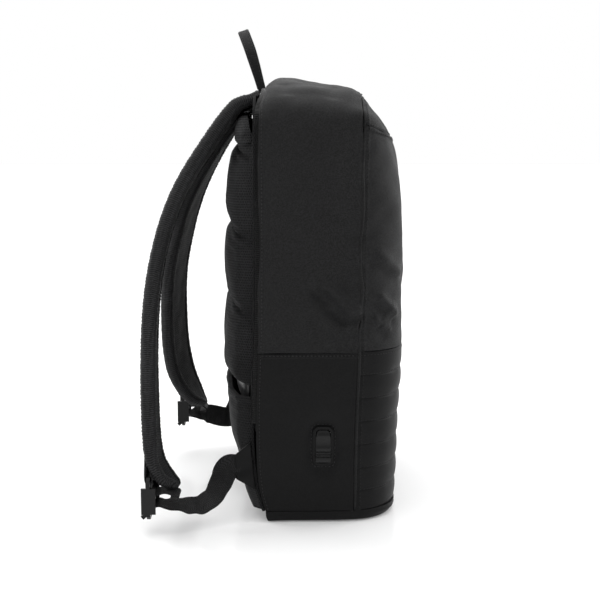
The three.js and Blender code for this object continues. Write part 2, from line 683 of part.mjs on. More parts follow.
// The smooth lining behind the sleeve's mouth, which joins the pad's foot to the board.
function passLining() {
  const half = sleeveHalf - padEdgeInset - wall;
  const top = (x) => padFoot(x) - clearance;
  const heightAt = (x, share) => THREE.MathUtils.lerp(top(x) - liningDepth, top(x), share);
  const stand = (x, z) => {
    const side = roundEdge((half - Math.abs(x)) / padShoulder);
    const up = smooth((z - top(x) + liningDepth) / (liningDepth - passOpening));
    return liningSkin + (padHeight * 0.56 - liningSkin) * side * up ** 2;
  };
  return paddedSheet(steps(0, 1, 5), 12, half, heightAt, stand, liningSkin);
}

// Directions across a band at each of its stations: wide over its face, thick through it.
function bandFrames(stations, across = new THREE.Vector3(1, 0, 0)) {
  const last = stations.length - 1;
  return stations.map((station, i) => {
    const [before, after] = [stations[Math.max(i - 1, 0)].point, stations[Math.min(i + 1, last)].point];
    const along = after.clone().sub(before).normalize();
    const wide = across.clone().addScaledVector(along, -across.dot(along)).normalize();
    wide.applyAxisAngle(along, THREE.MathUtils.degToRad(station.twist));
    return { ...station, wide, thick: new THREE.Vector3().crossVectors(along, wide) };
  });
}

// A strap or pad swept along a path. Each station has a point, width, thickness and twist.
function sweptBand(stations, section, across) {
  const rings = bandFrames(stations, across).map(({ point, width, thickness, wide, thick }) =>
    section.map(([w, t]) => point.clone().addScaledVector(wide, w * width).addScaledVector(thick, t * thickness)),
  );
  return solidFromRings(rings, stations[0].point, stations.at(-1).point);
}

// Stations spaced evenly along the smooth curve through a few rows.
function resample(rows, count) {
  const curve = new THREE.CatmullRomCurve3(rows.map((row) => row.point), false, "centripetal");
  return steps(0, 1, count).map((share) => {
    const t = curve.getUtoTmapping(share);
    const place = t * (rows.length - 1);
    const i = Math.min(Math.floor(place), rows.length - 2);
    const blend = (key) => THREE.MathUtils.lerp(rows[i][key], rows[i + 1][key], smooth(place - i));
    return {
      point: curve.getPoint(t),
      width: blend("width"),
      thickness: blend("thickness"),
      twist: blend("twist"),
    };
  });
}

const padSection = [
  [-0.5, -0.2], [-0.44, -0.46], [0, -0.5], [0.44, -0.46],
  [0.5, -0.2], [0.5, 0.2], [0.44, 0.46], [0, 0.5], [-0.44, 0.46], [-0.5, 0.2],
];
const handleSection = [[-0.5, 0], [-0.38, -0.5], [0.38, -0.5], [0.5, 0], [0.38, 0.5], [-0.38, 0.5]];
const tapeSection = [[-0.5, -0.5], [0.5, -0.5], [0.5, 0.5], [-0.5, 0.5]];

const sides = [
  { name: "left", sign: -1 },
  { name: "right", sign: 1 },
];

function strapStations(side) {
  return strapRows[side.name].map((row) => ({
    point: new THREE.Vector3(
      side.sign * row.across * strapSpacing,
      backEdgeY + row.reach * strapReach,
      row.height * bodyHeight,
    ),
    width: row.width * strapWidth,
    thickness: row.thick * strapThickness,
    twist: side.sign * row.twist,
  }));
}

const padStations = (side) => resample(strapStations(side), 26);
const shoulderPad = (side) => sweptBand(padStations(side), padSection);

// The buckle hangs from the pad's outer face, a little outside the pad's end.
function buckleCentre(side) {
  const end = strapStations(side).at(-1).point;
  return new THREE.Vector3(
    end.x + side.sign * webbingWidth * 0.3,
    end.y + buckleLength * 0.66,
    end.z - buckleLength * 0.14,
  );
}

const buckleRail = 14;
const buckleTilt = 0;
const slotMiddle = (i) => ((buckleSlots[i].low + buckleSlots[i].high) / 2 - 0.5) * buckleLength;

// A point by the buckle: up along its plate and out from its outer face side.
function buckleSpot(side, out, up) {
  const centre = buckleCentre(side);
  const [sin, cos] = [Math.sin(buckleTilt), Math.cos(buckleTilt)];
  return new THREE.Vector3(centre.x, centre.y + out * cos - up * sin, centre.z + up * cos + out * sin);
}

const bandStation = (point, turn = 0) => ({
  point,
  width: webbingWidth,
  thickness: webbingThickness,
  twist: turn,
});

// The short webbing that holds the buckle: down the pad's outer face, round the buckle's upper bar
// and back over itself.
function buckleTab(side) {
  const out = webbingThickness / 2 + 2 * clearance;
  const off = webbingThickness / 2 + 3 * clearance;
  const onPad = bandFrames(resample(strapStations(side), 52)).slice(-7, -5).map(({ point, thickness, thick, twist }) =>
    bandStation(point.clone().addScaledVector(thick, -thickness / 2 - off), twist),
  );
  const barFoot = (buckleSlots[2].high - 0.5) * buckleLength;
  const barTop = buckleLength / 2;
  const past = buckleThickness / 2 + out;
  const loop = [
    [past, barTop + out],
    [past, (barFoot + barTop) / 2],
    [past * 0.8, barFoot - out],
    [0, barFoot - out * 1.8],
    [-past * 0.8, barFoot - out],
    [-past, (barFoot + barTop) / 2],
    [-past * 0.9, barTop + 0.3 * out],
  ].map(([away, up]) => bandStation(buckleSpot(side, away, up)));
  return sweptBand(resample([...onPad, ...loop], 16), tapeSection);
}

// manifold-3d solids for the few joins and cuts.
function toManifold(geometry) {
  const bare = geometry.clone();
  bare.deleteAttribute("normal");
  bare.deleteAttribute("uv");
  const merged = mergeVertices(bare);
  return new wasm.Manifold(
    new wasm.Mesh({
      numProp: 3,
      vertProperties: merged.attributes.position.array,
      triVerts: new Uint32Array(merged.index.array),
    }),
  );
}

function fromManifold(solid) {
  const { vertProperties, triVerts } = solid.getMesh();
  const geometry = new THREE.BufferGeometry();
  geometry.setAttribute("position", new THREE.BufferAttribute(vertProperties, 3));
  geometry.setIndex(new THREE.BufferAttribute(triVerts, 1));
  return geometry;
}

const box = (width, depth, height, x, y, z) =>
  toManifold(new THREE.BoxGeometry(width, depth, height).translate(x, y, z));

// A ladder-lock buckle: a plate with three slots, chamfered corners and a lip to pull it open.
function ladderLock(side) {
  const [w, l] = [buckleWidth / 2, buckleLength / 2];
  const corner = buckleBar * 0.7;
  const shape = new THREE.Shape();
  shape.moveTo(-w + corner, -l).lineTo(w - corner, -l).lineTo(w, -l + corner);
  shape.lineTo(w, l - corner).lineTo(w - corner, l).lineTo(-w + corner, l);
  shape.lineTo(-w, l - corner).lineTo(-w, -l + corner).closePath();
  const plate = new THREE.ExtrudeGeometry(shape, { depth: buckleThickness, bevelEnabled: false });
  plate.translate(0, 0, -buckleThickness / 2).rotateX(Math.PI / 2);
  let solid = toManifold(plate);
  for (const slot of buckleSlots) {
    const height = (slot.high - slot.low) * buckleLength;
    const middle = ((slot.low + slot.high) / 2 - 0.5) * buckleLength;
    solid = solid.subtract(box(2 * (w - buckleBar), 4 * buckleThickness, height, 0, 0, middle));
  }
  const lip = new THREE.BoxGeometry(2 * w - 2 * corner, buckleBar * 2, buckleBar);
  lip.rotateX(-0.7).translate(0, buckleThickness, -l + buckleBar * 0.9);
  solid = solid.add(toManifold(lip));
  for (const rail of [-1, 1]) {
    const middle = rail * (w - buckleBar / 2 + corner / 4);
    solid = solid.add(box(buckleBar - corner / 2, buckleRail, buckleLength * 0.62, middle, 0, -buckleLength * 0.06));
  }
  const geometry = fromManifold(solid);
  const centre = buckleCentre(side);
  return geometry.rotateX(buckleTilt).translate(centre.x, centre.y, centre.z);
}

// The adjuster webbing of one side: out from the corner gusset, in through the buckle's lower
// slot, round its middle bar, back through the next slot and on as a short free tail.
function adjusterWebbing(side) {
  const start = gussetMouth(side);
  const past = buckleThickness / 2 + webbingThickness / 2 + clearance;
  const [low, high] = [slotMiddle(0), slotMiddle(1)];
  const entry = buckleSpot(side, -past, low);
  const approach = webbingRows[side.name].map((row) => {
    const point = start.clone().lerp(entry, row.along);
    const wide = start.x + (entry.x - start.x) * smooth(row.along);
    point.set(wide, point.y, point.z - row.sag * gussetHeight);
    return bandStation(point, -side.sign * row.turn);
  });
  const loop = [
    [0, low],
    [past * 0.8, low],
    [past * 1.35, (2 * low + high) / 3],
    [past * 1.35, (low + 2 * high) / 3],
    [past * 0.8, high],
    [0, high],
  ].map(([out, up]) => bandStation(buckleSpot(side, out, up)));
  const tail = tailRows.map((row) =>
    bandStation(buckleSpot(side, row.out * buckleLength, row.up * buckleLength)),
  );
  return sweptBand(resample([...approach, bandStation(entry), ...loop, ...tail], 42), tapeSection);
}

// The corner gusset: a doubled fabric tab sewn in the back seam, over the webbing's end.
const gussetX = (side) => side.sign * (halfWidth - wall);
const gussetFoot = (z) => boardFace(halfWidth - wall, z) + boardRelief;

function gussetMouth(side) {
  const y = gussetFoot(gussetCentreZ) + gussetReach + webbingThickness;
  return new THREE.Vector3(gussetX(side), y + clearance, gussetCentreZ);
}

function cornerGusset(side) {
  const half = gussetHeight / 2;
  const mouth = webbingWidth * 0.52;
  const reach = gussetFoot(gussetCentreZ) + gussetReach;
  const shape = new THREE.Shape();
  shape.moveTo(-half, gussetFoot(gussetCentreZ - half)).lineTo(0, gussetFoot(gussetCentreZ));
  shape.lineTo(half, gussetFoot(gussetCentreZ + half)).lineTo(mouth, reach).lineTo(-mouth, reach).closePath();
  const geometry = new THREE.ExtrudeGeometry(shape, { depth: wall * 0.8, bevelEnabled: false });
  geometry.translate(0, 0, -wall * 0.4).rotateY(-Math.PI / 2);
  return geometry.translate(gussetX(side), 0, gussetCentreZ);
}

// The grab handle: a folded strip in an arch between the straps, leaning backwards.
const footWidth = handleWidth * 0.75;

function grabHandle() {
  const half = (handleSpan / 2) * 0.88;
  const y = shellBackAt(bodyHeight) + clearance + footWidth / 2;
  const foot = new THREE.Vector3(half, y, outlineTop(half, 0, boardDrop) + footWidth * 0.22);
  const points = steps(-1, 1, 12).map((share) => {
    const rise = Math.sqrt(1 - Math.abs(share) ** 2.6);
    const x = (handleSpan / 2) * share * (1 - 0.12 * (1 - rise) ** 2);
    return new THREE.Vector3(x, foot.y + handleLean * rise ** 1.2, foot.z + handleRise * rise);
  });
  const stations = points.map((point, i) => ({
    point,
    width: i < 1 || i > points.length - 2 ? footWidth : handleWidth,
    thickness: handleThickness,
    twist: 0,
  }));
  const lean = new THREE.Vector3(0, handleRise, -handleLean).normalize();
  return sweptBand(resample(stations, 22), handleSection, lean);
}

// Rounded rectangle in the plane of the left side panel: y across and z up.
function roundedOutline(width, height, radius) {
  const [w, h, r] = [width / 2, height / 2, Math.min(radius, width / 2)];
  const shape = new THREE.Shape();
  shape.moveTo(-w, -h + r).absarc(-w + r, -h + r, r, Math.PI, 1.5 * Math.PI, false);
  shape.absarc(w - r, -h + r, r, 1.5 * Math.PI, 2 * Math.PI, false);
  shape.absarc(w - r, h - r, r, 0, 0.5 * Math.PI, false);
  shape.absarc(-w + r, h - r, r, 0.5 * Math.PI, Math.PI, false);
  return shape;
}

function portPlate(width, height, radius, from, to) {
  const shape = roundedOutline(width, height, radius);
  const geometry = new THREE.ExtrudeGeometry(shape, { depth: to - from, bevelEnabled: false, curveSegments: 3 });
  return toManifold(geometry.translate(0, 0, from));
}

// Places a port piece, built with +Z outwards and +Y up, on the left side panel.
function onSidePanel(solid) {
  const y = seamAt(portCentreZ) + portBehindSeam;
  const face = shellPoint(portCentreZ, y, 0);
  const above = shellPoint(portCentreZ + 1, y, 0);
  const geometry = fromManifold(solid);
  geometry.rotateX(Math.PI / 2).rotateZ(-Math.PI / 2);
  geometry.rotateY(Math.atan2(above.x - face.x, above.z - face.z));
  return geometry.translate(face.x, face.y, face.z);
}

const portFlange = 2;
const portRaise = 1.4;
const portSleeve = 2 * wall;
const portRadius = portWidth * 0.3;

const portHole = () => portPlate(portWidth + 2 * clearance, portHeight + 2 * clearance, portRadius, -3 * wall, 3 * wall);

function portFrame() {
  const bore = portPlate(portWidth - portFlange, portHeight - portFlange, portRadius * 0.8, -4 * wall, 4 * wall);
  const flange = portPlate(portWidth + 2 * portFlange, portHeight + 2 * portFlange, portRadius * 1.4, seamGap, portRaise);
  const sleeve = portPlate(portWidth, portHeight, portRadius, -portSleeve, seamGap * 2);
  return onSidePanel(flange.add(sleeve).subtract(bore));
}

function portCover() {
  const width = portWidth - portFlange - 2 * clearance;
  const height = portHeight - portFlange - 2 * clearance;
  let solid = portPlate(width, height, portRadius * 0.7, -portSleeve, -portRaise * 0.3);
  const tab = portPlate(width * 0.86, height * 0.46, portRadius * 0.6, -portRaise, portRaise * 0.9);
  solid = solid.add(tab.translate([0, -height * 0.16, 0]));
  for (let i = 0; i < 3; i++) {
    const groove = new THREE.BoxGeometry(width * 1.2, portRaise * 0.7, portRaise * 1.2);
    groove.translate(0, -height * 0.3 + i * portRaise * 2, portRaise * 0.9);
    solid = solid.subtract(toManifold(groove));
  }
  return onSidePanel(solid);
}

function sideLowerPanel(side) {
  const runs = side.sign < 0 ? lowLevels : lowLevels.map((z) => outlineLength - z);
  const sheet = shellSheet(runs, frontEdge, backEdgeAt, steps(0, 1, 5), 0, wall);
  if (side.sign > 0) return sheet;
  const hole = toManifold(onSidePanel(portHole()));
  return fromManifold(toManifold(sheet).subtract(hole));
}

// Levels of the sides over the lower panels.
const sideLevels = steps(sidePanelHeight + clearance, shoulderStart, 5);

function mainGusset() {
  return shellSheet(outlineRuns(sideLevels, 6, 8), frontEdge, shellBackAt, topShares, 0, wall);
}

// The welt in the front seam, standing a little proud of the side.
function frontPiping() {
  const width = pocketInset * 2.2;
  const runs = outlineRuns([...lowLevels.slice(0, -1), ...sideLevels], 6, 8);
  const front = (z) => seamAt(z) - width;
  return shellSheet(runs, front, seamAt, [0, 1], -pocketInset * 0.3, pocketInset * 1.3 - 2 * clearance);
}

// The main zip in the groove round the back edge: its tapes, and the closed coil over them.
const zipLevels = [zipEndHeight, ...lowLevels.filter((z) => z > zipEndHeight + clearance), ...sideLevels.slice(1)];
const zipRuns = () => outlineRuns(zipLevels, 6, 8);

function zipTape() {
  const back = (z) => boardEdgeAt(z) - clearance;
  const front = (z) => back(z) - zipTapeWidth;
  return shellSheet(zipRuns(), front, back, [0, 0.5, 1], zipTapeInset, zipTapeThickness);
}

function zipCoil() {
  const half = grooveWidth / 2 - seamGap;
  const middle = (z) => shellBackAt(z) + grooveWidth / 2;
  const [front, back] = [(z) => middle(z) - half, (z) => middle(z) + half];
  const thickness = zipTapeInset - 2 * zipTapeThickness;
  return shellSheet(zipRuns(), front, back, [0, 1], zipTapeThickness, thickness);
}

const fabric = { color: 0x262527, roughness: 0.9, metalness: 0 };
const coated = { color: 0x1f1f20, roughness: 0.6, metalness: 0 };
const mesh = { color: 0x1b1b1a, roughness: 0.95, metalness: 0 };
const satin = { color: 0x3c3c3e, roughness: 0.5, metalness: 0 };
const webbing = { color: 0x1d1d1e, roughness: 0.8, metalness: 0 };
const plastic = { color: 0x18181a, roughness: 0.45, metalness: 0 };

const backpack = new THREE.Group();
function addPart(name, geometry, finish) {
  const part = new THREE.Mesh(geometry, new THREE.MeshStandardMaterial(finish));
  part.name = name;
  backpack.add(part);
  return part;
}

// Body panels
addPart("main_gusset", mainGusset(), fabric);
addPart("front_lower_panel", pocketSheet(frontLowerRows(), 12, true), coated);
addPart("front_upper_panel", pocketSheet(frontUpperRows(), 18, false), fabric);
addPart("front_yoke", pocketSheet(yokeRows(), 18, false), fabric);
addPart("base_panel", baseTray(), coated);
addPart("back_board", boardSheet(), satin);
addPart("back_pad", backPad(), mesh);
addPart("luggage_sleeve", luggageSleeve(), mesh);
addPart("sleeve_lining", passLining(), satin);
addPart("front_piping", frontPiping(), coated);
addPart("zip_tape", zipTape(), webbing);
addPart("zip_coil", zipCoil(), plastic);

// Straps, webbing and buckles, and the two side lower panels
for (const side of sides) {
  addPart(`side_lower_${side.name}`, sideLowerPanel(side), coated);
  addPart(`shoulder_strap_${side.name}`, shoulderPad(side), fabric);
  addPart(`buckle_tab_${side.name}`, buckleTab(side), webbing);
  addPart(`buckle_${side.name}`, ladderLock(side), plastic);
  addPart(`adjuster_webbing_${side.name}`, adjusterWebbing(side), webbing);
  addPart(`corner_gusset_${side.name}`, cornerGusset(side), coated);
}
addPart("grab_handle", grabHandle(), webbing);

// The port low on the left side
addPart("port_frame", portFrame(), plastic);
addPart("port_cover", portCover(), plastic);

export default backpack;
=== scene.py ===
"""Laptop backpack: cloth panels, padding, straps, seams and fittings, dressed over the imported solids.

Every length is in metres. +Z is up, the ribbed front faces -Y and the padded back +Y.
"""

import logging
import math
from collections.abc import Callable, Sequence
from dataclasses import dataclass
from enum import Enum

import bpy
import numpy as np
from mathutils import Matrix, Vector
from mathutils.bvhtree import BVHTree
from mathutils.kdtree import KDTree


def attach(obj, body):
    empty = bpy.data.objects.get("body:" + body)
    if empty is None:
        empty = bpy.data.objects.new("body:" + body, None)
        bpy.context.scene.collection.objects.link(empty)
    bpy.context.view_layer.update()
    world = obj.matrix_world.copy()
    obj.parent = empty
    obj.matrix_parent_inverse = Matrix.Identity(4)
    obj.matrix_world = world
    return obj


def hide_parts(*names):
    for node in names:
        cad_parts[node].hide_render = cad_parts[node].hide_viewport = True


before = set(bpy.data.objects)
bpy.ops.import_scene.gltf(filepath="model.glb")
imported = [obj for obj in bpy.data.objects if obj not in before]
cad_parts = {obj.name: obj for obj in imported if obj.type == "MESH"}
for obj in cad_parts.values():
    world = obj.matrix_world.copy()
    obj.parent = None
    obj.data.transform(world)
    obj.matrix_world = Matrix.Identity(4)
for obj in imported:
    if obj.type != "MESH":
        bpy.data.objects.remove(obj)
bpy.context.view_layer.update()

log = logging.getLogger("laptop_backpack")
Chart = Callable[[np.ndarray], np.ndarray]


class Slot(Enum):
    """Material slots of the part's record."""

    WOVEN = "woven_fabric"
    COATED = "coated_fabric"
    MESH = "mesh_fabric"
    SATIN = "satin_fabric"
    WEBBING = "webbing"
    PLASTIC = "plastic"


class Side(Enum):
    """The two sides of the bag, by the wearer's left and right."""

    LEFT = "left"
    RIGHT = "right"

    @property
    def sign(self) -> float:
        """Direction of the side along X."""
        return -1.0 if self is Side.LEFT else 1.0


# Working the meshes


def smooth_step(share: np.ndarray | float) -> np.ndarray:
    """Smooth rise from 0 to 1 as the share goes from 0 to 1."""
    held = np.clip(share, 0.0, 1.0)
    return held * held * (3.0 - 2.0 * held)


def take_up(piece: bpy.types.Object) -> None:
    """Makes one piece the only selected and the active one."""
    bpy.ops.object.select_all(action="DESELECT")
    piece.select_set(True)
    bpy.context.view_layer.objects.active = piece


def points_of(piece: bpy.types.Object) -> np.ndarray:
    """Places of a piece's points, one row each."""
    flat = np.empty(len(piece.data.vertices) * 3)
    piece.data.vertices.foreach_get("co", flat)
    return flat.reshape(-1, 3)


def normals_of(piece: bpy.types.Object) -> np.ndarray:
    """Directions in which a piece's surface faces at its points."""
    flat = np.empty(len(piece.data.vertices) * 3)
    piece.data.vertex_normals.foreach_get("vector", flat)
    return flat.reshape(-1, 3)


def move_points(piece: bpy.types.Object, points: np.ndarray) -> None:
    """Puts a piece's points at new places."""
    piece.data.vertices.foreach_set("co", points.ravel())
    piece.data.update()


def apply_modifier(piece: bpy.types.Object, kind: str, **settings: object) -> None:
    """Adds a modifier to a piece and applies it.

    Args:
        piece: The piece to change.
        kind: Blender's name of the modifier type.
        **settings: Values of the modifier's own settings.
    """
    take_up(piece)
    modifier = piece.modifiers.new(kind.lower(), kind)
    for name, value in settings.items():
        setattr(modifier, name, value)
    bpy.ops.object.modifier_apply(modifier=modifier.name)


def subdivide(piece: bpy.types.Object, levels: int) -> None:
    """Rounds a piece by applied subdivision."""
    apply_modifier(piece, "SUBSURF", levels=levels, render_levels=levels)


def copy_of(node: str, name: str) -> bpy.types.Object:
    """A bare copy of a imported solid, merged and turned back into four-sided faces.

    Args:
        node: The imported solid's name.
        name: Name of the new piece.

    Returns:
        The new piece, without material or map.
    """
    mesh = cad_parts[node].data.copy()
    mesh.name = name
    mesh.materials.clear()
    while mesh.uv_layers:
        mesh.uv_layers.remove(mesh.uv_layers[0])
    piece = bpy.data.objects.new(name, mesh)
    bpy.context.scene.collection.objects.link(piece)
    take_up(piece)
    if mesh.has_custom_normals:
        bpy.ops.mesh.customdata_custom_splitnormals_clear()
    bpy.ops.object.mode_set(mode="EDIT")
    bpy.ops.mesh.select_all(action="SELECT")
    bpy.ops.mesh.remove_doubles(threshold=1e-5)
    bpy.ops.mesh.tris_convert_to_quads(face_threshold=math.pi, shape_threshold=math.pi)
    bpy.ops.object.mode_set(mode="OBJECT")
    return piece


def round_rims(piece: bpy.types.Object, width: float = 0.0009, sharper_than: float = 62.0) -> None:
    """Bevels a sheet's rims, so that subdivision keeps them in place.

    Args:
        piece: The sheet.
        width: Width of the bevel.
        sharper_than: Angle in degrees from which an edge counts as a rim.
    """
    take_up(piece)
    bpy.ops.object.mode_set(mode="EDIT")
    bpy.ops.mesh.select_mode(type="EDGE")
    bpy.ops.mesh.select_all(action="DESELECT")
    bpy.ops.mesh.edges_select_sharp(sharpness=math.radians(sharper_than))
    bpy.ops.mesh.bevel(offset=width, segments=2, profile=0.6, affect="EDGES", clamp_overlap=True)
    bpy.ops.object.mode_set(mode="OBJECT")


def cut_rows(piece: bpy.types.Object, heights: Sequence[float]) -> None:
    """Cuts level rows into a sheet, so that small folds find enough points there."""
    take_up(piece)
    bpy.ops.object.mode_set(mode="EDIT")
    for height in heights:
        bpy.ops.mesh.select_all(action="SELECT")
        bpy.ops.mesh.bisect(plane_co=(0.0, 0.0, height), plane_no=(0.0, 0.0, 1.0))
    bpy.ops.object.mode_set(mode="OBJECT")


def turn_faces_outwards(piece: bpy.types.Object) -> None:
    """Recalculates which way a closed piece's faces point."""
    take_up(piece)
    bpy.ops.object.mode_set(mode="EDIT")
    bpy.ops.mesh.select_all(action="SELECT")
    bpy.ops.mesh.normals_make_consistent(inside=False)
    bpy.ops.object.mode_set(mode="OBJECT")


def smooth_shading(piece: bpy.types.Object, angle: float = 60.0) -> None:
    """Shades a piece smooth, except over edges sharper than an angle in degrees."""
    take_up(piece)
    bpy.ops.object.shade_smooth_by_angle(angle=math.radians(angle))


def lay_map(piece: bpy.types.Object, chart: Chart) -> None:
    """Gives a piece a map in metres.

    Args:
        piece: The piece to map.
        chart: Function from points to their two coordinates along the cloth.
    """
    mesh = piece.data
    at_points = chart(points_of(piece))
    corners = np.empty(len(mesh.loops), dtype=np.int32)
    mesh.loops.foreach_get("vertex_index", corners)
    layer = mesh.uv_layers.new(name="cloth")
    layer.data.foreach_set("uv", at_points[corners].astype(np.float32).ravel())


def from_faces(name: str, points: np.ndarray, faces: Sequence[Sequence[int]]) -> bpy.types.Object:
    """A new piece from points and faces."""
    mesh = bpy.data.meshes.new(name)
    mesh.from_pydata(points.tolist(), [], faces)
    piece = bpy.data.objects.new(name, mesh)
    bpy.context.scene.collection.objects.link(piece)
    return piece


def surface_tree(*pieces: bpy.types.Object) -> BVHTree:
    """Search tree over the faces of one or more pieces."""
    points: list = []
    faces: list = []
    for piece in pieces:
        start = len(points)
        points.extend(points_of(piece).tolist())
        faces.extend([start + corner for corner in face.vertices] for face in piece.data.polygons)
    return BVHTree.FromPolygons(points, faces)


class Waves:
    """Smooth, repeatable unevenness: a sum of plane waves in fixed random directions."""

    def __init__(self, seed: int, length: float, count: int = 12) -> None:
        """Draws the waves.

        Args:
            seed: Start of the random draws.
            length: Typical wave length.
            count: Number of waves.
        """
        draw = np.random.default_rng(seed)
        towards = draw.normal(size=(count, 3))
        towards /= np.linalg.norm(towards, axis=1, keepdims=True)
        lengths = length * draw.uniform(0.65, 1.5, size=(count, 1))
        self.vectors = towards * 2.0 * math.pi / lengths
        self.phases = draw.uniform(0.0, 2.0 * math.pi, size=count)

    def __call__(self, points: np.ndarray) -> np.ndarray:
        """Value at each point, mostly between -1 and 1."""
        return np.sin(points @ self.vectors.T + self.phases).sum(axis=1) / math.sqrt(len(self.phases))


@dataclass(frozen=True)
class Fold:
    """A fold of the cloth between two points: a ridge, or with a downhill side a step."""

    start: tuple[float, float, float]
    end: tuple[float, float, float]
    width: float
    lift: float
    downhill: tuple[float, float, float] | None = None

    def rise(self, points: np.ndarray) -> np.ndarray:
        """How far the fold lifts the cloth at each point."""
        start = np.array(self.start)
        run = np.array(self.end) - start
        share = np.clip((points - start) @ run / (run @ run), 0.0, 1.0)
        offset = points - start - share[:, None] * run
        near = np.exp(-((np.linalg.norm(offset, axis=1) / self.width) ** 2))
        ends = smooth_step(4.0 * share + 0.25) * smooth_step(4.0 * (1.0 - share) + 0.25)
        if self.downhill is None:
            return self.lift * near * ends
        across = offset @ np.array(self.downhill) / self.width
        return -2.3 * self.lift * across * near * ends


# The bag's own lines


@dataclass(frozen=True)
class BagLines:
    """Outline, seams and edges of the bag's body."""

    half_width: float = 0.1485
    height: float = 0.456
    shoulder_radius: float = 0.052
    shoulder_start: float = 0.397
    crown: float = 0.007
    swell: float = 0.0025
    front_seam: float = -0.023
    main_depth: float = 0.098
    pocket_depth: float = 0.050
    pocket_inset: float = 0.0015
    pocket_corner: float = 0.048
    front_crown: float = 0.004
    lower_seam: float = 0.1757
    rib_top: float = 0.1775
    rib_pitch: float = 0.0241
    yoke_seam: float = 0.387
    yoke_dip: float = 0.017
    base_top: float = 0.0122
    levels: tuple[float, ...] = (
        0.0, 0.028, 0.066, 0.125, 0.24, 0.33, 0.47, 0.63,
        0.77, 0.84, 0.875, 0.9, 0.925, 0.945, 0.96,
    )
    back_shares: tuple[float, ...] = (
        0.908, 0.945, 1.0, 1.031, 1.036, 1.026, 1.003, 1.0,
        1.0, 1.0, 1.0, 1.0, 1.0, 1.0, 1.0,
    )
    seam_shares: tuple[float, ...] = (
        0.035, 0.035, 0.035, 0.035, 0.025, 0.01, 0.0, -0.01,
        -0.02, -0.03, -0.035, -0.035, -0.035, -0.035, -0.035,
    )
    front_shares: tuple[float, ...] = (
        0.83, 0.9, 0.93, 0.95, 0.96, 0.985, 0.96, 0.93,
        0.84, 0.7, 0.54, 0.38, 0.21, 0.08, 0.0,
    )
    top_depths: tuple[float, ...] = (-0.04, 0.02, 0.08, 0.25, 0.5, 0.76, 0.88, 0.95, 1.04)
    top_drops: tuple[float, ...] = (0.038, 0.027, 0.021, 0.016, 0.009, 0.0, 0.01, 0.024, 0.037)

    @property
    def flat_half(self) -> float:
        """Half of the top's flat length."""
        return self.half_width - self.shoulder_radius

    @property
    def outline_length(self) -> float:
        """Length of the outline from the left foot over the top to the right foot."""
        return 2.0 * self.shoulder_start + math.pi * self.shoulder_radius + 2.0 * self.flat_half

    @property
    def rib_levels(self) -> np.ndarray:
        """Heights of the six sewn lines between the ribs."""
        return self.rib_top - self.rib_pitch * np.arange(1, 7)

    def seam_at(self, z: np.ndarray) -> np.ndarray:
        """Place of the front seam along Y at a height."""
        return self.front_seam + self.main_depth * np.interp(z / self.height, self.levels, self.seam_shares)

    def back_at(self, z: np.ndarray) -> np.ndarray:
        """Place of the back edge along Y at a height."""
        return self.front_seam + self.main_depth * np.interp(z / self.height, self.levels, self.back_shares)

    def run_round(self, points: np.ndarray) -> np.ndarray:
        """Length along the outline from the left foot at each point."""
        x, z = points[:, 0], points[:, 2]
        up = np.maximum(z - self.shoulder_start, 0.0)
        over = np.maximum(np.abs(x) - self.flat_half, 1e-6)
        turned = np.arctan2(up, over) * (up > 0.0)
        inwards = np.maximum(self.flat_half - np.abs(x), 0.0) * (up > 0.0)
        length = np.minimum(z, self.shoulder_start) + self.shoulder_radius * turned + inwards
        return np.where(x > 0.0, self.outline_length - length, length)

    def shell_line(self, runs: np.ndarray, y: Callable[[np.ndarray], np.ndarray]) -> np.ndarray:
        """Points on the side and top along a line.

        Args:
            runs: Lengths along the outline.
            y: Function from a height to the line's place along Y.

        Returns:
            One point for each run, close to the cloth.
        """
        mirrored = runs > self.outline_length / 2.0
        length = np.where(mirrored, self.outline_length - runs, runs)
        turned = np.clip((length - self.shoulder_start) / self.shoulder_radius, 0.0, math.pi / 2.0)
        past = np.maximum(length - self.shoulder_start - self.shoulder_radius * math.pi / 2.0, 0.0)
        low = np.minimum(length, self.shoulder_start)
        swell = self.swell * np.sin(math.pi * low / self.shoulder_start)
        x = -self.half_width - swell + self.shoulder_radius * (1.0 - np.cos(turned)) + past
        crown = self.crown * (1.0 - (1.0 - past / self.flat_half) ** 2)
        z = low + self.shoulder_radius * np.sin(turned) + crown
        at_y = y(z)
        depth = (at_y - self.front_seam) / self.main_depth
        drop = self.height * np.interp(depth, self.top_depths, self.top_drops)
        z = z - drop * smooth_step((z - self.shoulder_start) / self.shoulder_radius)
        return np.column_stack([np.where(mirrored, -x, x), at_y, z])

    def front_line(self, z: Callable[[np.ndarray], np.ndarray], count: int = 240) -> np.ndarray:
        """Points along a line across the front, from its left seam to its right one.

        Args:
            z: Function from places along X to heights.
            count: Number of points.

        Returns:
            The points, close to the cloth.
        """
        share = np.sin(np.linspace(-0.497, 0.497, count) * math.pi)
        height = z(share * (self.half_width - self.pocket_inset))
        low = np.minimum(height, self.shoulder_start)
        half = self.half_width - self.pocket_inset + self.swell * np.sin(math.pi * low / self.shoulder_start)
        x = share * half
        room = np.clip((half - np.abs(x)) / self.pocket_corner, 0.0, 1.0)
        bulge = np.sqrt(1.0 - (1.0 - room) ** 2)
        out = self.pocket_depth * np.interp(height / self.height, self.levels, self.front_shares)
        crown = self.front_crown * (1.0 - share**2)
        return np.column_stack([x, self.seam_at(height) - (out + crown) * bulge, height])

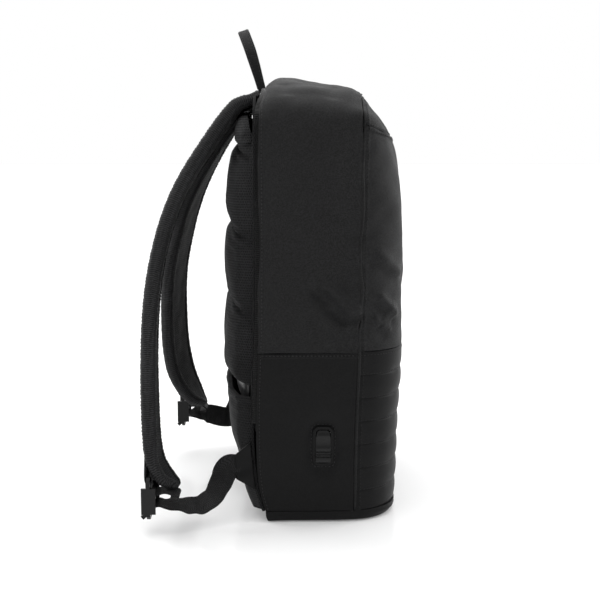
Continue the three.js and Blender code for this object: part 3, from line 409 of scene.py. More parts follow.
    def yoke_line(self, x: np.ndarray) -> np.ndarray:
        """Height of the dipped seam under the yoke."""
        radius = self.shoulder_radius - self.pocket_inset
        over = np.maximum(np.abs(x) - self.flat_half, 0.0)
        side = np.sqrt(np.maximum(radius**2 - over**2, 0.0))
        crown = self.crown * (1.0 - np.minimum(np.abs(x) / self.flat_half, 1.0) ** 2)
        drop = self.height * 0.037
        top = self.shoulder_start + side + crown - drop * smooth_step(side / self.shoulder_radius)
        highest = self.shoulder_start + radius + self.crown - drop
        return self.yoke_seam + self.yoke_dip * (highest - top) / (highest - self.shoulder_start)

    def heart(self, points: np.ndarray) -> np.ndarray:
        """Nearest place to each point inside the bag, from which the cloth faces away."""
        low = [-self.flat_half, -0.02, 0.06]
        high = [self.flat_half, 0.05, self.shoulder_start]
        return np.clip(points, low, high)


BAG = BagLines()

SHELL_FOLDS = (
    # Side dent: creases that run forwards and down, lit above and dark below
    Fold((-0.150, 0.020, 0.248), (-0.150, -0.020, 0.209), 0.0090, 0.0050, (0.0, 0.69, -0.72)),
    Fold((-0.150, 0.008, 0.224), (-0.150, -0.014, 0.206), 0.0060, 0.0015, (0.0, 0.63, -0.77)),
    Fold((-0.150, -0.004, 0.250), (-0.150, -0.021, 0.233), 0.0055, -0.0012),
    Fold((-0.150, 0.026, 0.218), (-0.150, -0.002, 0.190), 0.0100, -0.0013),
    Fold((0.150, 0.016, 0.246), (0.150, -0.016, 0.212), 0.0085, 0.0022, (0.0, 0.72, -0.69)),
    # Gathers above the lower seam, deepest beside the front seam
    Fold((-0.150, 0.004, 0.178), (-0.150, 0.000, 0.190), 0.0026, -0.0009),
    Fold((-0.150, -0.004, 0.178), (-0.150, -0.008, 0.194), 0.0028, -0.0015),
    Fold((-0.150, -0.010, 0.178), (-0.150, -0.014, 0.200), 0.0030, -0.0017),
    Fold((-0.150, -0.0165, 0.178), (-0.150, -0.020, 0.192), 0.0026, -0.0013),
    Fold((0.150, -0.004, 0.178), (0.150, -0.008, 0.193), 0.0030, -0.0014),
    Fold((0.150, -0.013, 0.178), (0.150, -0.018, 0.198), 0.0030, -0.0015),
    # Long soft folds of the side panels
    Fold((-0.150, 0.066, 0.384), (-0.150, 0.044, 0.262), 0.013, 0.0016),
    Fold((-0.150, 0.030, 0.396), (-0.150, 0.008, 0.300), 0.012, -0.0015),
    Fold((-0.150, 0.058, 0.240), (-0.150, 0.046, 0.184), 0.012, -0.0012),
    Fold((-0.150, 0.000, 0.370), (-0.150, -0.020, 0.318), 0.009, 0.0012),
    Fold((0.150, 0.064, 0.372), (0.150, 0.040, 0.258), 0.013, 0.0016),
    Fold((0.150, 0.028, 0.388), (0.150, 0.006, 0.296), 0.012, -0.0015),
    # Dents of the shoulders and the top
    Fold((-0.138, 0.046, 0.436), (-0.104, 0.050, 0.452), 0.009, -0.0028),
    Fold((-0.138, 0.002, 0.430), (-0.100, -0.002, 0.449), 0.008, -0.0024),
    Fold((-0.132, 0.022, 0.441), (-0.084, 0.027, 0.455), 0.010, 0.0018),
    Fold((0.136, 0.036, 0.436), (0.100, 0.040, 0.452), 0.010, -0.0024),
    Fold((0.030, 0.024, 0.452), (-0.035, 0.030, 0.454), 0.014, -0.0018),
    # Folds of the front, above the ribbed panel
    Fold((-0.146, -0.036, 0.276), (-0.118, -0.064, 0.246), 0.0080, 0.0030, (0.0, 0.73, -0.68)),
    Fold((-0.1455, -0.040, 0.233), (-0.126, -0.0616, 0.2065), 0.0065, 0.0030, (0.0, 0.763, -0.646)),
    Fold((-0.1462, -0.040, 0.2124), (-0.1425, -0.046, 0.203), 0.0036, 0.0024),
    Fold((-0.1425, -0.046, 0.203), (-0.133, -0.0567, 0.1977), 0.0036, 0.0028),
    Fold((-0.1455, -0.041, 0.204), (-0.137, -0.054, 0.190), 0.0060, -0.0014),
    Fold((-0.138, -0.050, 0.216), (-0.131, -0.058, 0.208), 0.0120, 0.0018),
    Fold((-0.098, -0.074, 0.262), (-0.050, -0.077, 0.216), 0.013, 0.0022),
    Fold((-0.040, -0.077, 0.200), (0.042, -0.077, 0.197), 0.012, 0.0022),
    Fold((0.020, -0.077, 0.300), (0.070, -0.075, 0.232), 0.016, 0.0020),
    Fold((0.104, -0.070, 0.204), (0.146, -0.040, 0.200), 0.009, 0.0026),
    Fold((0.110, -0.066, 0.262), (0.140, -0.038, 0.280), 0.009, -0.0020),
)
BROAD = Waves(11, 0.075)
CRUMPLE = Waves(12, 0.026)
PUCKER = Waves(13, 0.017, 7)
PAD_WAVES = Waves(14, 0.034)
TAPE_WAVES = Waves(15, 0.022)


@dataclass(frozen=True)
class ClothRelief:
    """Heights and widths of the small shapes of the outer cloth."""

    loose_from: float = 0.166
    loose_over: float = 0.026
    stiff_wave: float = 0.00012
    loose_wave: float = 0.00075
    stiff_crumple: float = 0.00005
    loose_crumple: float = 0.00032
    stiff_pucker: float = 0.00018
    loose_pucker: float = 0.00135
    pucker_reach: float = 0.0075
    felled_height: float = 0.00055
    felled_width: float = 0.0085
    lip_height: float = 0.0009
    hem_height: float = 0.00035
    hem_width: float = 0.0062
    stitch_from_edge: float = 0.0030
    sway: float = 0.0015
    sway_from: float = 0.168
    sway_over: float = 0.030
    sway_half: float = 0.003
    sway_reach: float = 0.006
    lap: float = 0.0013
    lap_width: float = 0.0028
    lower_stiff: float = 0.0001
    lower_loose: float = 0.0004
    lower_reach: float = 0.006
    edge_width: float = 0.0016
    lip_ahead: float = 0.0012
    lip_width: float = 0.0013
    seam_sink: float = 0.0007
    seam_width: float = 0.0022
    stitch_sink: float = 0.0004
    stitch_width: float = 0.0011


RELIEF = ClothRelief()


def bell(away: np.ndarray, width: float) -> np.ndarray:
    """A smooth bump: 1 at no distance, and gone a few widths away."""
    return np.exp(-((away / width) ** 2))


def fading(away: np.ndarray, reach: float) -> np.ndarray:
    """Falls off with the distance: 1 at none, and about a third at the reach."""
    return np.exp(-away / reach)


def on_a_line(values: np.ndarray) -> np.ndarray:
    """Points at the given values along X, for waves that only change along a line."""
    return np.column_stack([values, np.zeros_like(values), np.zeros_like(values)])


def seam_ripple(points: np.ndarray) -> np.ndarray:
    """Uneven puckers along the front seam: stronger in some stretches than in others."""
    along = on_a_line(BAG.run_round(points))
    stretch = 0.75 + 0.45 * BROAD(along * 1.3)
    return stretch * PUCKER(along)


def seam_sway(points: np.ndarray) -> np.ndarray:
    """How far the front seam sways along Y at each point, the same for all the cloth beside it."""
    z = points[:, 2]
    loose = smooth_step((z - RELIEF.sway_from) / RELIEF.sway_over)
    loose = loose * smooth_step((BAG.shoulder_start + 0.03 - z) / 0.05)
    ahead = BAG.seam_at(z) - points[:, 1]
    near = fading(np.maximum(np.abs(ahead) - RELIEF.sway_half, 0.0), RELIEF.sway_reach)
    lap = RELIEF.lap * bell(ahead, RELIEF.lap_width) * (ahead < 0.0) * (0.4 + 0.6 * loose)
    return RELIEF.sway * loose * seam_ripple(points) * near - lap


def shell_rise(points: np.ndarray) -> np.ndarray:
    """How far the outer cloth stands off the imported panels: folds, puckers and sewn edges."""
    y, z = points[:, 1], points[:, 2]
    loose = smooth_step((z - RELIEF.loose_from) / RELIEF.loose_over)
    ahead = BAG.seam_at(z) - y
    behind = BAG.back_at(z) - y
    rise = (RELIEF.stiff_wave + RELIEF.loose_wave * loose) * BROAD(points)
    rise += (RELIEF.stiff_crumple + RELIEF.loose_crumple * loose) * CRUMPLE(points)
    ripple = seam_ripple(points)
    at_seam = fading(np.abs(ahead), RELIEF.pucker_reach)
    rise += (RELIEF.stiff_pucker + RELIEF.loose_pucker * loose) * ripple * at_seam
    at_lower_seam = fading(np.abs(z - BAG.lower_seam), RELIEF.lower_reach)
    rise += (RELIEF.lower_stiff + RELIEF.lower_loose * loose) * ripple * at_lower_seam
    felled = smooth_step(ahead / 0.002) * smooth_step((RELIEF.felled_width - ahead) / RELIEF.edge_width)
    lip = RELIEF.lip_height * bell(ahead + RELIEF.lip_ahead, RELIEF.lip_width) * (ahead < 0.0)
    sink = RELIEF.seam_sink * bell(ahead, RELIEF.seam_width) * (ahead >= 0.0)
    rise += RELIEF.felled_height * felled + lip - sink
    hem = smooth_step((RELIEF.hem_width - behind) / RELIEF.edge_width) * (behind > -0.002)
    stitched = bell(behind - RELIEF.stitch_from_edge, RELIEF.stitch_width)
    rise += RELIEF.hem_height * hem - RELIEF.stitch_sink * stitched
    for fold in SHELL_FOLDS:
        rise += fold.rise(points)
    return rise


def drape(piece: bpy.types.Object, rise: Chart, faces_from: Chart = BAG.heart, sways: bool = True) -> None:
    """Lifts a sheet's outer face along its own directions and takes the inner face with it.

    Args:
        piece: The sheet, closed and already subdivided.
        rise: Function from points to how far the cloth lifts there.
        faces_from: Function from points to places behind them, inside the bag.
        sways: Whether the sheet follows the sway of the front seam.
    """
    points = points_of(piece)
    normals = normals_of(piece)
    facing = points - faces_from(points)
    facing /= np.linalg.norm(facing, axis=1, keepdims=True) + 1e-9
    outer = np.flatnonzero((normals * facing).sum(axis=1) > 0.72)
    moves = np.zeros_like(points)
    moves[outer] = normals[outer] * rise(points[outer])[:, None]
    if sways:
        moves[outer, 1] += seam_sway(points[outer])
    tree = KDTree(len(outer))
    for place, index in enumerate(outer):
        tree.insert(points[index], place)
    tree.balance()
    inner = np.ones(len(points), dtype=bool)
    inner[outer] = False
    for index in np.flatnonzero(inner):
        moves[index] = moves[outer[tree.find(points[index])[1]]]
    move_points(piece, points + moves)


# Finishes


class Bench:
    """Short ways to add nodes to one tree and join them."""

    def __init__(self, tree: bpy.types.NodeTree) -> None:
        """Keeps the tree that the nodes go into."""
        self.tree = tree

    def node(self, kind: str, values: dict | None = None, **settings: object) -> bpy.types.Node:
        """Adds a node.

        Args:
            kind: Type of the node.
            values: Value or joined output for each input, by name or number.
            **settings: Values of the node's own settings.

        Returns:
            The new node.
        """
        made = self.tree.nodes.new(kind)
        for name, value in settings.items():
            setattr(made, name, value)
        for socket, value in (values or {}).items():
            if isinstance(value, bpy.types.NodeSocket):
                self.tree.links.new(value, made.inputs[socket])
            else:
                made.inputs[socket].default_value = value
        return made

    def sum(self, operation: str, *values: object) -> bpy.types.NodeSocket:
        """Result of one arithmetic step."""
        return self.node("ShaderNodeMath", dict(enumerate(values)), operation=operation).outputs[0]

    def mix(self, amount: object, low: tuple, high: tuple) -> bpy.types.NodeSocket:
        """Colour between two colours."""
        values = {"Factor": amount, 6: (*low, 1.0), 7: (*high, 1.0)}
        return self.node("ShaderNodeMix", values, data_type="RGBA").outputs[2]

    def noise(self, at: bpy.types.NodeSocket, scale: float, detail: float = 2.0) -> bpy.types.NodeSocket:
        """Soft noise at a scale per metre."""
        values = {"Vector": at, "Scale": scale, "Detail": detail}
        return self.node("ShaderNodeTexNoise", values).outputs["Fac"]

    def band(
        self, value: object, low: float, high: float, to_low: float = 0.0, to_high: float = 1.0
    ) -> bpy.types.NodeSocket:
        """Smooth change from one value to another between two limits."""
        values = {"Value": value, "From Min": low, "From Max": high, "To Min": to_low, "To Max": to_high}
        return self.node("ShaderNodeMapRange", values, interpolation_type="SMOOTHSTEP").outputs["Result"]


def node_group(
    name: str, inputs: dict[str, str], outputs: dict[str, str], build: Callable
) -> bpy.types.NodeTree:
    """Makes a shared effect once, and finds it again afterwards.

    Args:
        name: Name of the effect.
        inputs: Socket type by input name.
        outputs: Socket type by output name.
        build: Function of the bench and the group's inputs, which returns the socket for each output.

    Returns:
        The node group.
    """
    known = bpy.data.node_groups.get(name)
    if known:
        return known
    tree = bpy.data.node_groups.new(name, "ShaderNodeTree")
    for label, kind in inputs.items():
        tree.interface.new_socket(name=label, in_out="INPUT", socket_type=kind)
    for label, kind in outputs.items():
        tree.interface.new_socket(name=label, in_out="OUTPUT", socket_type=kind)
    bench = Bench(tree)
    entry = bench.node("NodeGroupInput")
    results = build(bench, entry.outputs)
    leave = bench.node("NodeGroupOutput")
    for label, socket in results.items():
        tree.links.new(socket, leave.inputs[label])
    return tree


def thread_cells(bench: Bench, given: object) -> tuple:
    """Scales map coordinates by the count per metre and gives their two parts."""
    values = {0: given["Vector"], "Scale": given["Per metre"]}
    scaled = bench.node("ShaderNodeVectorMath", values, operation="SCALE")
    parts = bench.node("ShaderNodeSeparateXYZ", {0: scaled.outputs[0]})
    across, along = parts.outputs[0], parts.outputs[1]
    return across, along


def weave_pattern(bench: Bench, given: object) -> dict:
    """Plain weave: threads over and under each other, each crossing a little lighter or darker."""
    across, along = thread_cells(bench, given)
    cell_u, cell_v = bench.sum("FLOOR", across), bench.sum("FLOOR", along)
    centre_u = bench.sum("SUBTRACT", bench.sum("SUBTRACT", across, cell_u), 0.5)
    centre_v = bench.sum("SUBTRACT", bench.sum("SUBTRACT", along, cell_v), 0.5)
    square_u = bench.sum("MULTIPLY", centre_u, centre_u)
    square_v = bench.sum("MULTIPLY", centre_v, centre_v)
    round_u = bench.sum("SUBTRACT", 1.0, bench.sum("MULTIPLY", square_u, 3.6))
    round_v = bench.sum("SUBTRACT", 1.0, bench.sum("MULTIPLY", square_v, 3.6))
    odd = bench.sum("PINGPONG", bench.sum("ADD", cell_u, cell_v), 1.0)
    over = bench.sum("MULTIPLY", round_u, bench.sum("MULTIPLY_ADD", round_v, 0.4, 0.6))
    under = bench.sum("MULTIPLY", round_v, bench.sum("MULTIPLY_ADD", round_u, 0.4, 0.6))
    swing = bench.sum("SUBTRACT", under, over)
    height = bench.sum("MULTIPLY_ADD", swing, odd, over)
    cell = bench.node("ShaderNodeCombineXYZ", {0: cell_u, 1: cell_v})
    thread = bench.node("ShaderNodeTexWhiteNoise", {"Vector": cell.outputs[0]}, noise_dimensions="2D")
    return {"Height": height, "Thread": thread.outputs["Value"]}


def spacer_pattern(bench: Bench, given: object) -> dict:
    """Spacer mesh: staggered rows of small oval holes."""
    across, along = thread_cells(bench, given)
    row = bench.sum("FLOOR", along)
    shifted = bench.sum("MULTIPLY_ADD", bench.sum("PINGPONG", row, 1.0), 0.5, across)
    centre_u = bench.sum("SUBTRACT", bench.sum("FRACT", shifted), 0.5)
    centre_v = bench.sum("MULTIPLY", bench.sum("SUBTRACT", bench.sum("FRACT", along), 0.5), 0.86)
    square_u = bench.sum("POWER", bench.sum("ABSOLUTE", centre_u), 2.0)
    square_v = bench.sum("POWER", bench.sum("ABSOLUTE", centre_v), 2.0)
    away = bench.sum("SQRT", bench.sum("ADD", square_u, square_v))
    return {"Height": bench.band(away, 0.16, 0.34), "Hole": bench.band(away, 0.2, 0.3, 1.0, 0.0)}


def tape_pattern(bench: Bench, given: object) -> dict:
    """Webbing: narrow ribs across the tape, in a shallow zigzag."""
    across, along = thread_cells(bench, given)
    zigzag = bench.sum("PINGPONG", bench.sum("MULTIPLY", across, 0.45), 1.0)
    phase = bench.sum("ADD", along, zigzag)
    centre = bench.sum("SUBTRACT", bench.sum("FRACT", phase), 0.5)
    rib = bench.sum("SUBTRACT", 1.0, bench.sum("MULTIPLY", bench.sum("MULTIPLY", centre, centre), 4.0))
    yarn = bench.sum("SINE", bench.sum("MULTIPLY", across, 2.0 * math.pi))
    return {"Height": bench.sum("MULTIPLY_ADD", yarn, 0.16, rib)}


def shade_pattern(bench: Bench, given: object) -> dict:
    """Soft change of shade over a hand's width and over a few millimetres."""
    broad = bench.noise(given["Vector"], 14.0)
    fine = bench.noise(given["Vector"], 700.0, 3.0)
    wide = bench.band(broad, 0.3, 0.7)
    return {"Broad": wide, "Fine": bench.band(fine, 0.32, 0.68)}


PLACE = "NodeSocketVector"
NUMBER = "NodeSocketFloat"
GROUPS = {
    "weave": ({"Vector": PLACE, "Per metre": NUMBER}, {"Height": NUMBER, "Thread": NUMBER}, weave_pattern),
    "spacer": ({"Vector": PLACE, "Per metre": NUMBER}, {"Height": NUMBER, "Hole": NUMBER}, spacer_pattern),
    "tape": ({"Vector": PLACE, "Per metre": NUMBER}, {"Height": NUMBER}, tape_pattern),
    "shade": ({"Vector": PLACE}, {"Broad": NUMBER, "Fine": NUMBER}, shade_pattern),
}


class Pattern(Enum):
    """What a finish's surface is made of."""

    WEAVE = "weave"
    SPACER = "spacer"
    TAPE = "tape"
    GRAIN = "grain"
    SATIN = "satin"
    MOULDED = "moulded"
    THREAD = "thread"


@dataclass(frozen=True)
class Finish:
    """One material: its dark and light shades, how it shines, and its surface pattern."""

    name: str
    slot: Slot
    pattern: Pattern
    dark: tuple[float, float, float]
    light: tuple[float, float, float]
    roughness: float
    sheen: float = 0.0
    specular: float = 0.5
    pitch: float = 0.001
    relief: float = 0.00012
    bump: float = 0.5
    mapped: bool = True

    def shared(self, bench: Bench, name: str, place: bpy.types.NodeSocket, **values: float) -> bpy.types.Node:
        """Places one of the shared effects in the material."""
        inputs, outputs, build = GROUPS[name]
        tree = node_group(name, inputs, outputs, build)
        return bench.node("ShaderNodeGroup", {"Vector": place, **values}, node_tree=tree)

    def surface(self, bench: Bench, place: bpy.types.NodeSocket, fine: bpy.types.NodeSocket) -> tuple:
        """Builds the pattern.

        Args:
            bench: The material's bench.
            place: Coordinates along the surface.
            fine: The fine change of shade.

        Returns:
            Height of the pattern, and how light the colour is: random tone, with painted shade where the
            pattern lies low.
        """
        per_metre = 1.0 / self.pitch
        if self.pattern is Pattern.WEAVE:
            cloth = self.shared(bench, "weave", place, **{"Per metre": per_metre})
            height = cloth.outputs["Height"]
            speckled = bench.sum("MULTIPLY", fine, 0.45)
            mixed = bench.sum("MULTIPLY_ADD", cloth.outputs["Thread"], 0.55, speckled)
            # The colour darkens where the threads dip under each other: painted shade between the threads.
            return height, bench.sum("MULTIPLY", mixed, bench.band(height, 0.0, 0.8, 0.35, 1.0))
        if self.pattern is Pattern.SPACER:
            cloth = self.shared(bench, "spacer", place, **{"Per metre": per_metre})
            # The holes are painted near black and the mesh between them lighter: painted shade in the holes.
            solid = bench.sum("SUBTRACT", 1.0, cloth.outputs["Hole"])
            speckled = bench.sum("MULTIPLY_ADD", fine, 0.4, 0.6)
            return cloth.outputs["Height"], bench.sum("MULTIPLY", solid, speckled)
        if self.pattern is Pattern.TAPE:
            cloth = self.shared(bench, "tape", place, **{"Per metre": per_metre})
            # The colour follows the ribs' height: painted shade in the grooves between the ribs.
            ribs = bench.band(cloth.outputs["Height"], 0.1, 1.0)
            speckled = bench.sum("MULTIPLY_ADD", fine, 0.5, 0.5)
            return cloth.outputs["Height"], bench.sum("MULTIPLY", ribs, speckled)
        if self.pattern in (Pattern.SATIN, Pattern.THREAD):
            values = {"Vector": place, "Scale": per_metre / 6.0, "Distortion": 0.6}
            wave = bench.node("ShaderNodeTexWave", values, wave_type="BANDS", bands_direction="DIAGONAL")
            thread = wave.outputs["Fac"]
            # The colour is lighter on the raised bands: painted highlight along the twill and the thread's
            # twist.
            return thread, bench.sum("MULTIPLY_ADD", thread, 0.4, bench.sum("MULTIPLY", fine, 0.6))
        speckle = bench.noise(place, per_metre, 2.0)
        return speckle, fine

    def make(self) -> bpy.types.Material:
        """Makes the material, or finds it again."""
        known = bpy.data.materials.get(self.name)
        if known:
            return known
        material = bpy.data.materials.new(self.name)
        material.use_nodes = True
        material.node_tree.nodes.clear()
        bench = Bench(material.node_tree)
        where = bench.node("ShaderNodeTexCoord")
        place = where.outputs["UV"] if self.mapped else where.outputs["Object"]
        shade = self.shared(bench, "shade", where.outputs["Object"])
        # The pattern's lightness carries its random tone and its painted shade.
        height, tone_and_painted_shade = self.surface(bench, place, shade.outputs["Fine"])
        broad = bench.sum("MULTIPLY_ADD", shade.outputs["Broad"], 0.35, 0.65)
        amount = bench.sum("MULTIPLY", tone_and_painted_shade, broad)
        color = bench.mix(amount, self.dark, self.light)
        rough = bench.sum("MULTIPLY_ADD", shade.outputs["Broad"], 0.08, self.roughness - 0.04)
        values = {"Height": height, "Distance": self.relief, "Strength": self.bump}
        bump = bench.node("ShaderNodeBump", values)
        skin = bench.node("ShaderNodeBsdfPrincipled", {
            "Base Color": color, "Roughness": rough, "Normal": bump.outputs[0],
            "Specular IOR Level": self.specular, "Sheen Weight": self.sheen, "Sheen Roughness": 0.45,
        })
        bench.node("ShaderNodeOutputMaterial", {"Surface": skin.outputs[0]})
        return material


def grey(value: float, blue: float = 1.04) -> tuple[float, float, float]:
    """A near-black grey, a little cool."""
    return (value, value, value * blue)


WOVEN = Finish(
    "woven cloth", Slot.WOVEN, Pattern.WEAVE, grey(0.0035), grey(0.021),
    roughness=0.62, sheen=0.05, specular=0.19, pitch=0.0010, relief=0.00020, bump=0.7,
)
COATED = Finish(
    "coated cloth", Slot.COATED, Pattern.GRAIN, grey(0.0040), grey(0.0068),
    roughness=0.50, sheen=0.012, specular=0.13, pitch=0.0009, relief=0.00006, bump=0.3,
)
SPACER = Finish(
    "spacer mesh", Slot.MESH, Pattern.SPACER, grey(0.0008), grey(0.030),
    roughness=0.72, sheen=0.02, specular=0.10, pitch=0.0026, relief=0.0007, bump=1.0,
)
# Mesh like the pad's, set darker for the back board's edge: painted shade of the narrow gap between the side
# panel and the pad.
PAINTED_SHADE_MESH = Finish(
    "edge mesh with painted shade", Slot.SATIN, Pattern.SPACER, grey(0.0008), grey(0.016),
    roughness=0.75, sheen=0.01, specular=0.08, pitch=0.0022, relief=0.0004, bump=0.9,
)
SATIN = Finish(
    "satin lining", Slot.SATIN, Pattern.SATIN, grey(0.012), grey(0.026),
    roughness=0.36, sheen=0.10, specular=0.45, pitch=0.0008, relief=0.00005, bump=0.3,
)
TAPE = Finish(
    "ribbed webbing", Slot.WEBBING, Pattern.TAPE, grey(0.0010), grey(0.030),
    roughness=0.60, sheen=0.03, specular=0.16, pitch=0.0019, relief=0.0004, bump=1.0,
)
BINDING = Finish(
    "binding tape", Slot.WEBBING, Pattern.TAPE, grey(0.0012), grey(0.042),
    roughness=0.62, sheen=0.03, specular=0.14, pitch=0.0021, relief=0.0005, bump=1.0,
)
WELT = Finish(
    "welt cloth", Slot.COATED, Pattern.GRAIN, grey(0.0040), grey(0.0120),
    roughness=0.55, sheen=0.05, specular=0.18, pitch=0.0009, relief=0.00006, bump=0.3,
)
PLASTIC = Finish(
    "moulded plastic", Slot.PLASTIC, Pattern.MOULDED, grey(0.0035), grey(0.006),
    roughness=0.34, sheen=0.0, specular=0.26, pitch=0.0006, relief=0.00003, bump=0.3, mapped=False,
)
# Darker plastic for the port frame: painted shade, so that the frame reads as a dark recess round the plug.
PAINTED_RECESS_SHADE = Finish(
    "plastic with painted recess shade", Slot.PLASTIC, Pattern.MOULDED, grey(0.0020), grey(0.0035),
    roughness=0.45, sheen=0.0, specular=0.15, pitch=0.0006, relief=0.00003, bump=0.3, mapped=False,
)
THREAD = Finish(
    "sewing thread", Slot.WOVEN, Pattern.THREAD, grey(0.008), grey(0.024),
    roughness=0.5, sheen=0.06, specular=0.25, pitch=0.0005, relief=0.00006, bump=0.4, mapped=False,
)
DARK_THREAD = Finish(
    "dark thread", Slot.COATED, Pattern.THREAD, grey(0.003), grey(0.010),
    roughness=0.5, sheen=0.02, specular=0.2, pitch=0.0005, relief=0.00006, bump=0.4, mapped=False,
)


def dress(
    piece: bpy.types.Object, finish: Finish, *replaced: str, slot: Slot | None = None
) -> bpy.types.Object:
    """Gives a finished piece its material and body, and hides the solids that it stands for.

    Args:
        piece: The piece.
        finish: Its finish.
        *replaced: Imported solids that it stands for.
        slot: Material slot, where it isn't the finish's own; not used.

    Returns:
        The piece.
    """
    piece.data.materials.clear()
    piece.data.materials.append(finish.make())
    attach(piece, "root")
    if replaced:
        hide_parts(*replaced)
    log.info("%s: %d faces, %s", piece.name, len(piece.data.polygons), finish.name)
    return piece


# Sewing


def spaced(line: np.ndarray, pitch: float) -> np.ndarray:
    """Points spaced evenly along a line."""
    steps = np.linalg.norm(np.diff(line, axis=0), axis=1)
    length = np.concatenate([[0.0], np.cumsum(steps)])
    count = max(int(length[-1] / pitch), 2)
    at = np.linspace(0.0, length[-1], count)
    return np.column_stack([np.interp(at, length, line[:, axis]) for axis in range(3)])


class Sewing:
    """Rows of stitches: one modelled stitch, copied along lines on the cloth."""

    def __init__(self, pitch: float = 0.0036, length: float = 0.0026, thick: float = 0.00085) -> None:
        """Models the single stitch.

        Args:
            pitch: Spacing of the stitches.
            length: Length of one stitch.
            thick: Thickness of its thread.
        """
        self.pitch = pitch
        bpy.ops.object.select_all(action="DESELECT")
        bpy.ops.mesh.primitive_cylinder_add(vertices=6, radius=thick / 2.0, depth=length * 0.5)
        stitch = bpy.context.object
        bpy.ops.object.mode_set(mode="EDIT")
        bpy.ops.mesh.select_mode(type="FACE")
        for end in (1.0, -1.0):
            for grow, shrink in ((0.16, 0.86), (0.09, 0.45)):
                bpy.ops.mesh.select_all(action="DESELECT")
                self.select_end(stitch, end)
                step = (0.0, 0.0, end * grow * length)
                bpy.ops.mesh.extrude_region_move(TRANSFORM_OT_translate={"value": step})
                bpy.ops.transform.resize(value=(shrink, shrink, 1.0))
        bpy.ops.object.mode_set(mode="OBJECT")
        self.points = points_of(stitch)
        self.points[:, 0] -= thick * 0.9 * (np.abs(self.points[:, 2]) / (length / 2.0)) ** 4
        self.faces = [list(face.vertices) for face in stitch.data.polygons]
        bpy.data.objects.remove(stitch)

    @staticmethod
    def select_end(stitch: bpy.types.Object, end: float) -> None:
        """Selects the flat face at one end of the stitch."""
        bpy.ops.object.mode_set(mode="OBJECT")
        faces = stitch.data.polygons
        last = max(faces, key=lambda face: end * face.center.z)
        last.select = True
        bpy.ops.object.mode_set(mode="EDIT")

    def laid(
        self, line: np.ndarray, cloth: BVHTree, down: Vector | None = None
    ) -> tuple[np.ndarray, np.ndarray]:
        """Points of a line put down on the cloth, and the directions that the cloth faces there.

        Args:
            line: The line, close to the cloth.
            cloth: Search tree over the cloth.
            down: Direction in which the line drops on the cloth. Without one, each point takes the
                nearest place.

        Returns:
            Places and facing directions, one row each.
        """
        places, facing = [], []
        for point in spaced(line, self.pitch):
            hit = cloth.ray_cast(Vector(point), down) if down else cloth.find_nearest(Vector(point))
            if hit[0] is not None:
                places.append(hit[0])
                facing.append(hit[1])
        return np.array(places), np.array(facing)

    def sew(
        self, name: str, rows: Sequence[tuple[np.ndarray, np.ndarray]], proud: float = 0.0001
    ) -> bpy.types.Object:
        """Copies the stitch along rows.

        Args:
            name: Name of the piece.
            rows: Places and facing directions of each row.
            proud: Height of the stitches' middles over the cloth.

        Returns:
            All the stitches as one piece.
        """
        points, faces = [], []
        for places, facing in rows:
            along = np.gradient(places, axis=0)
            for place, out, run in zip(places, facing, along):
                run = run - out * (run @ out)
                run /= np.linalg.norm(run) + 1e-12
                turn = np.array([out, np.cross(run, out), run])
                first = len(points) * len(self.points)
                faces.extend([corner + first for corner in face] for face in self.faces)
                points.append(self.points @ turn + place + out * proud)
        piece = from_faces(name, np.concatenate(points), faces)
        turn_faces_outwards(piece)
        smooth_shading(piece, 80.0)
        return piece


# Bands: straps, webbing, tabs and the handle


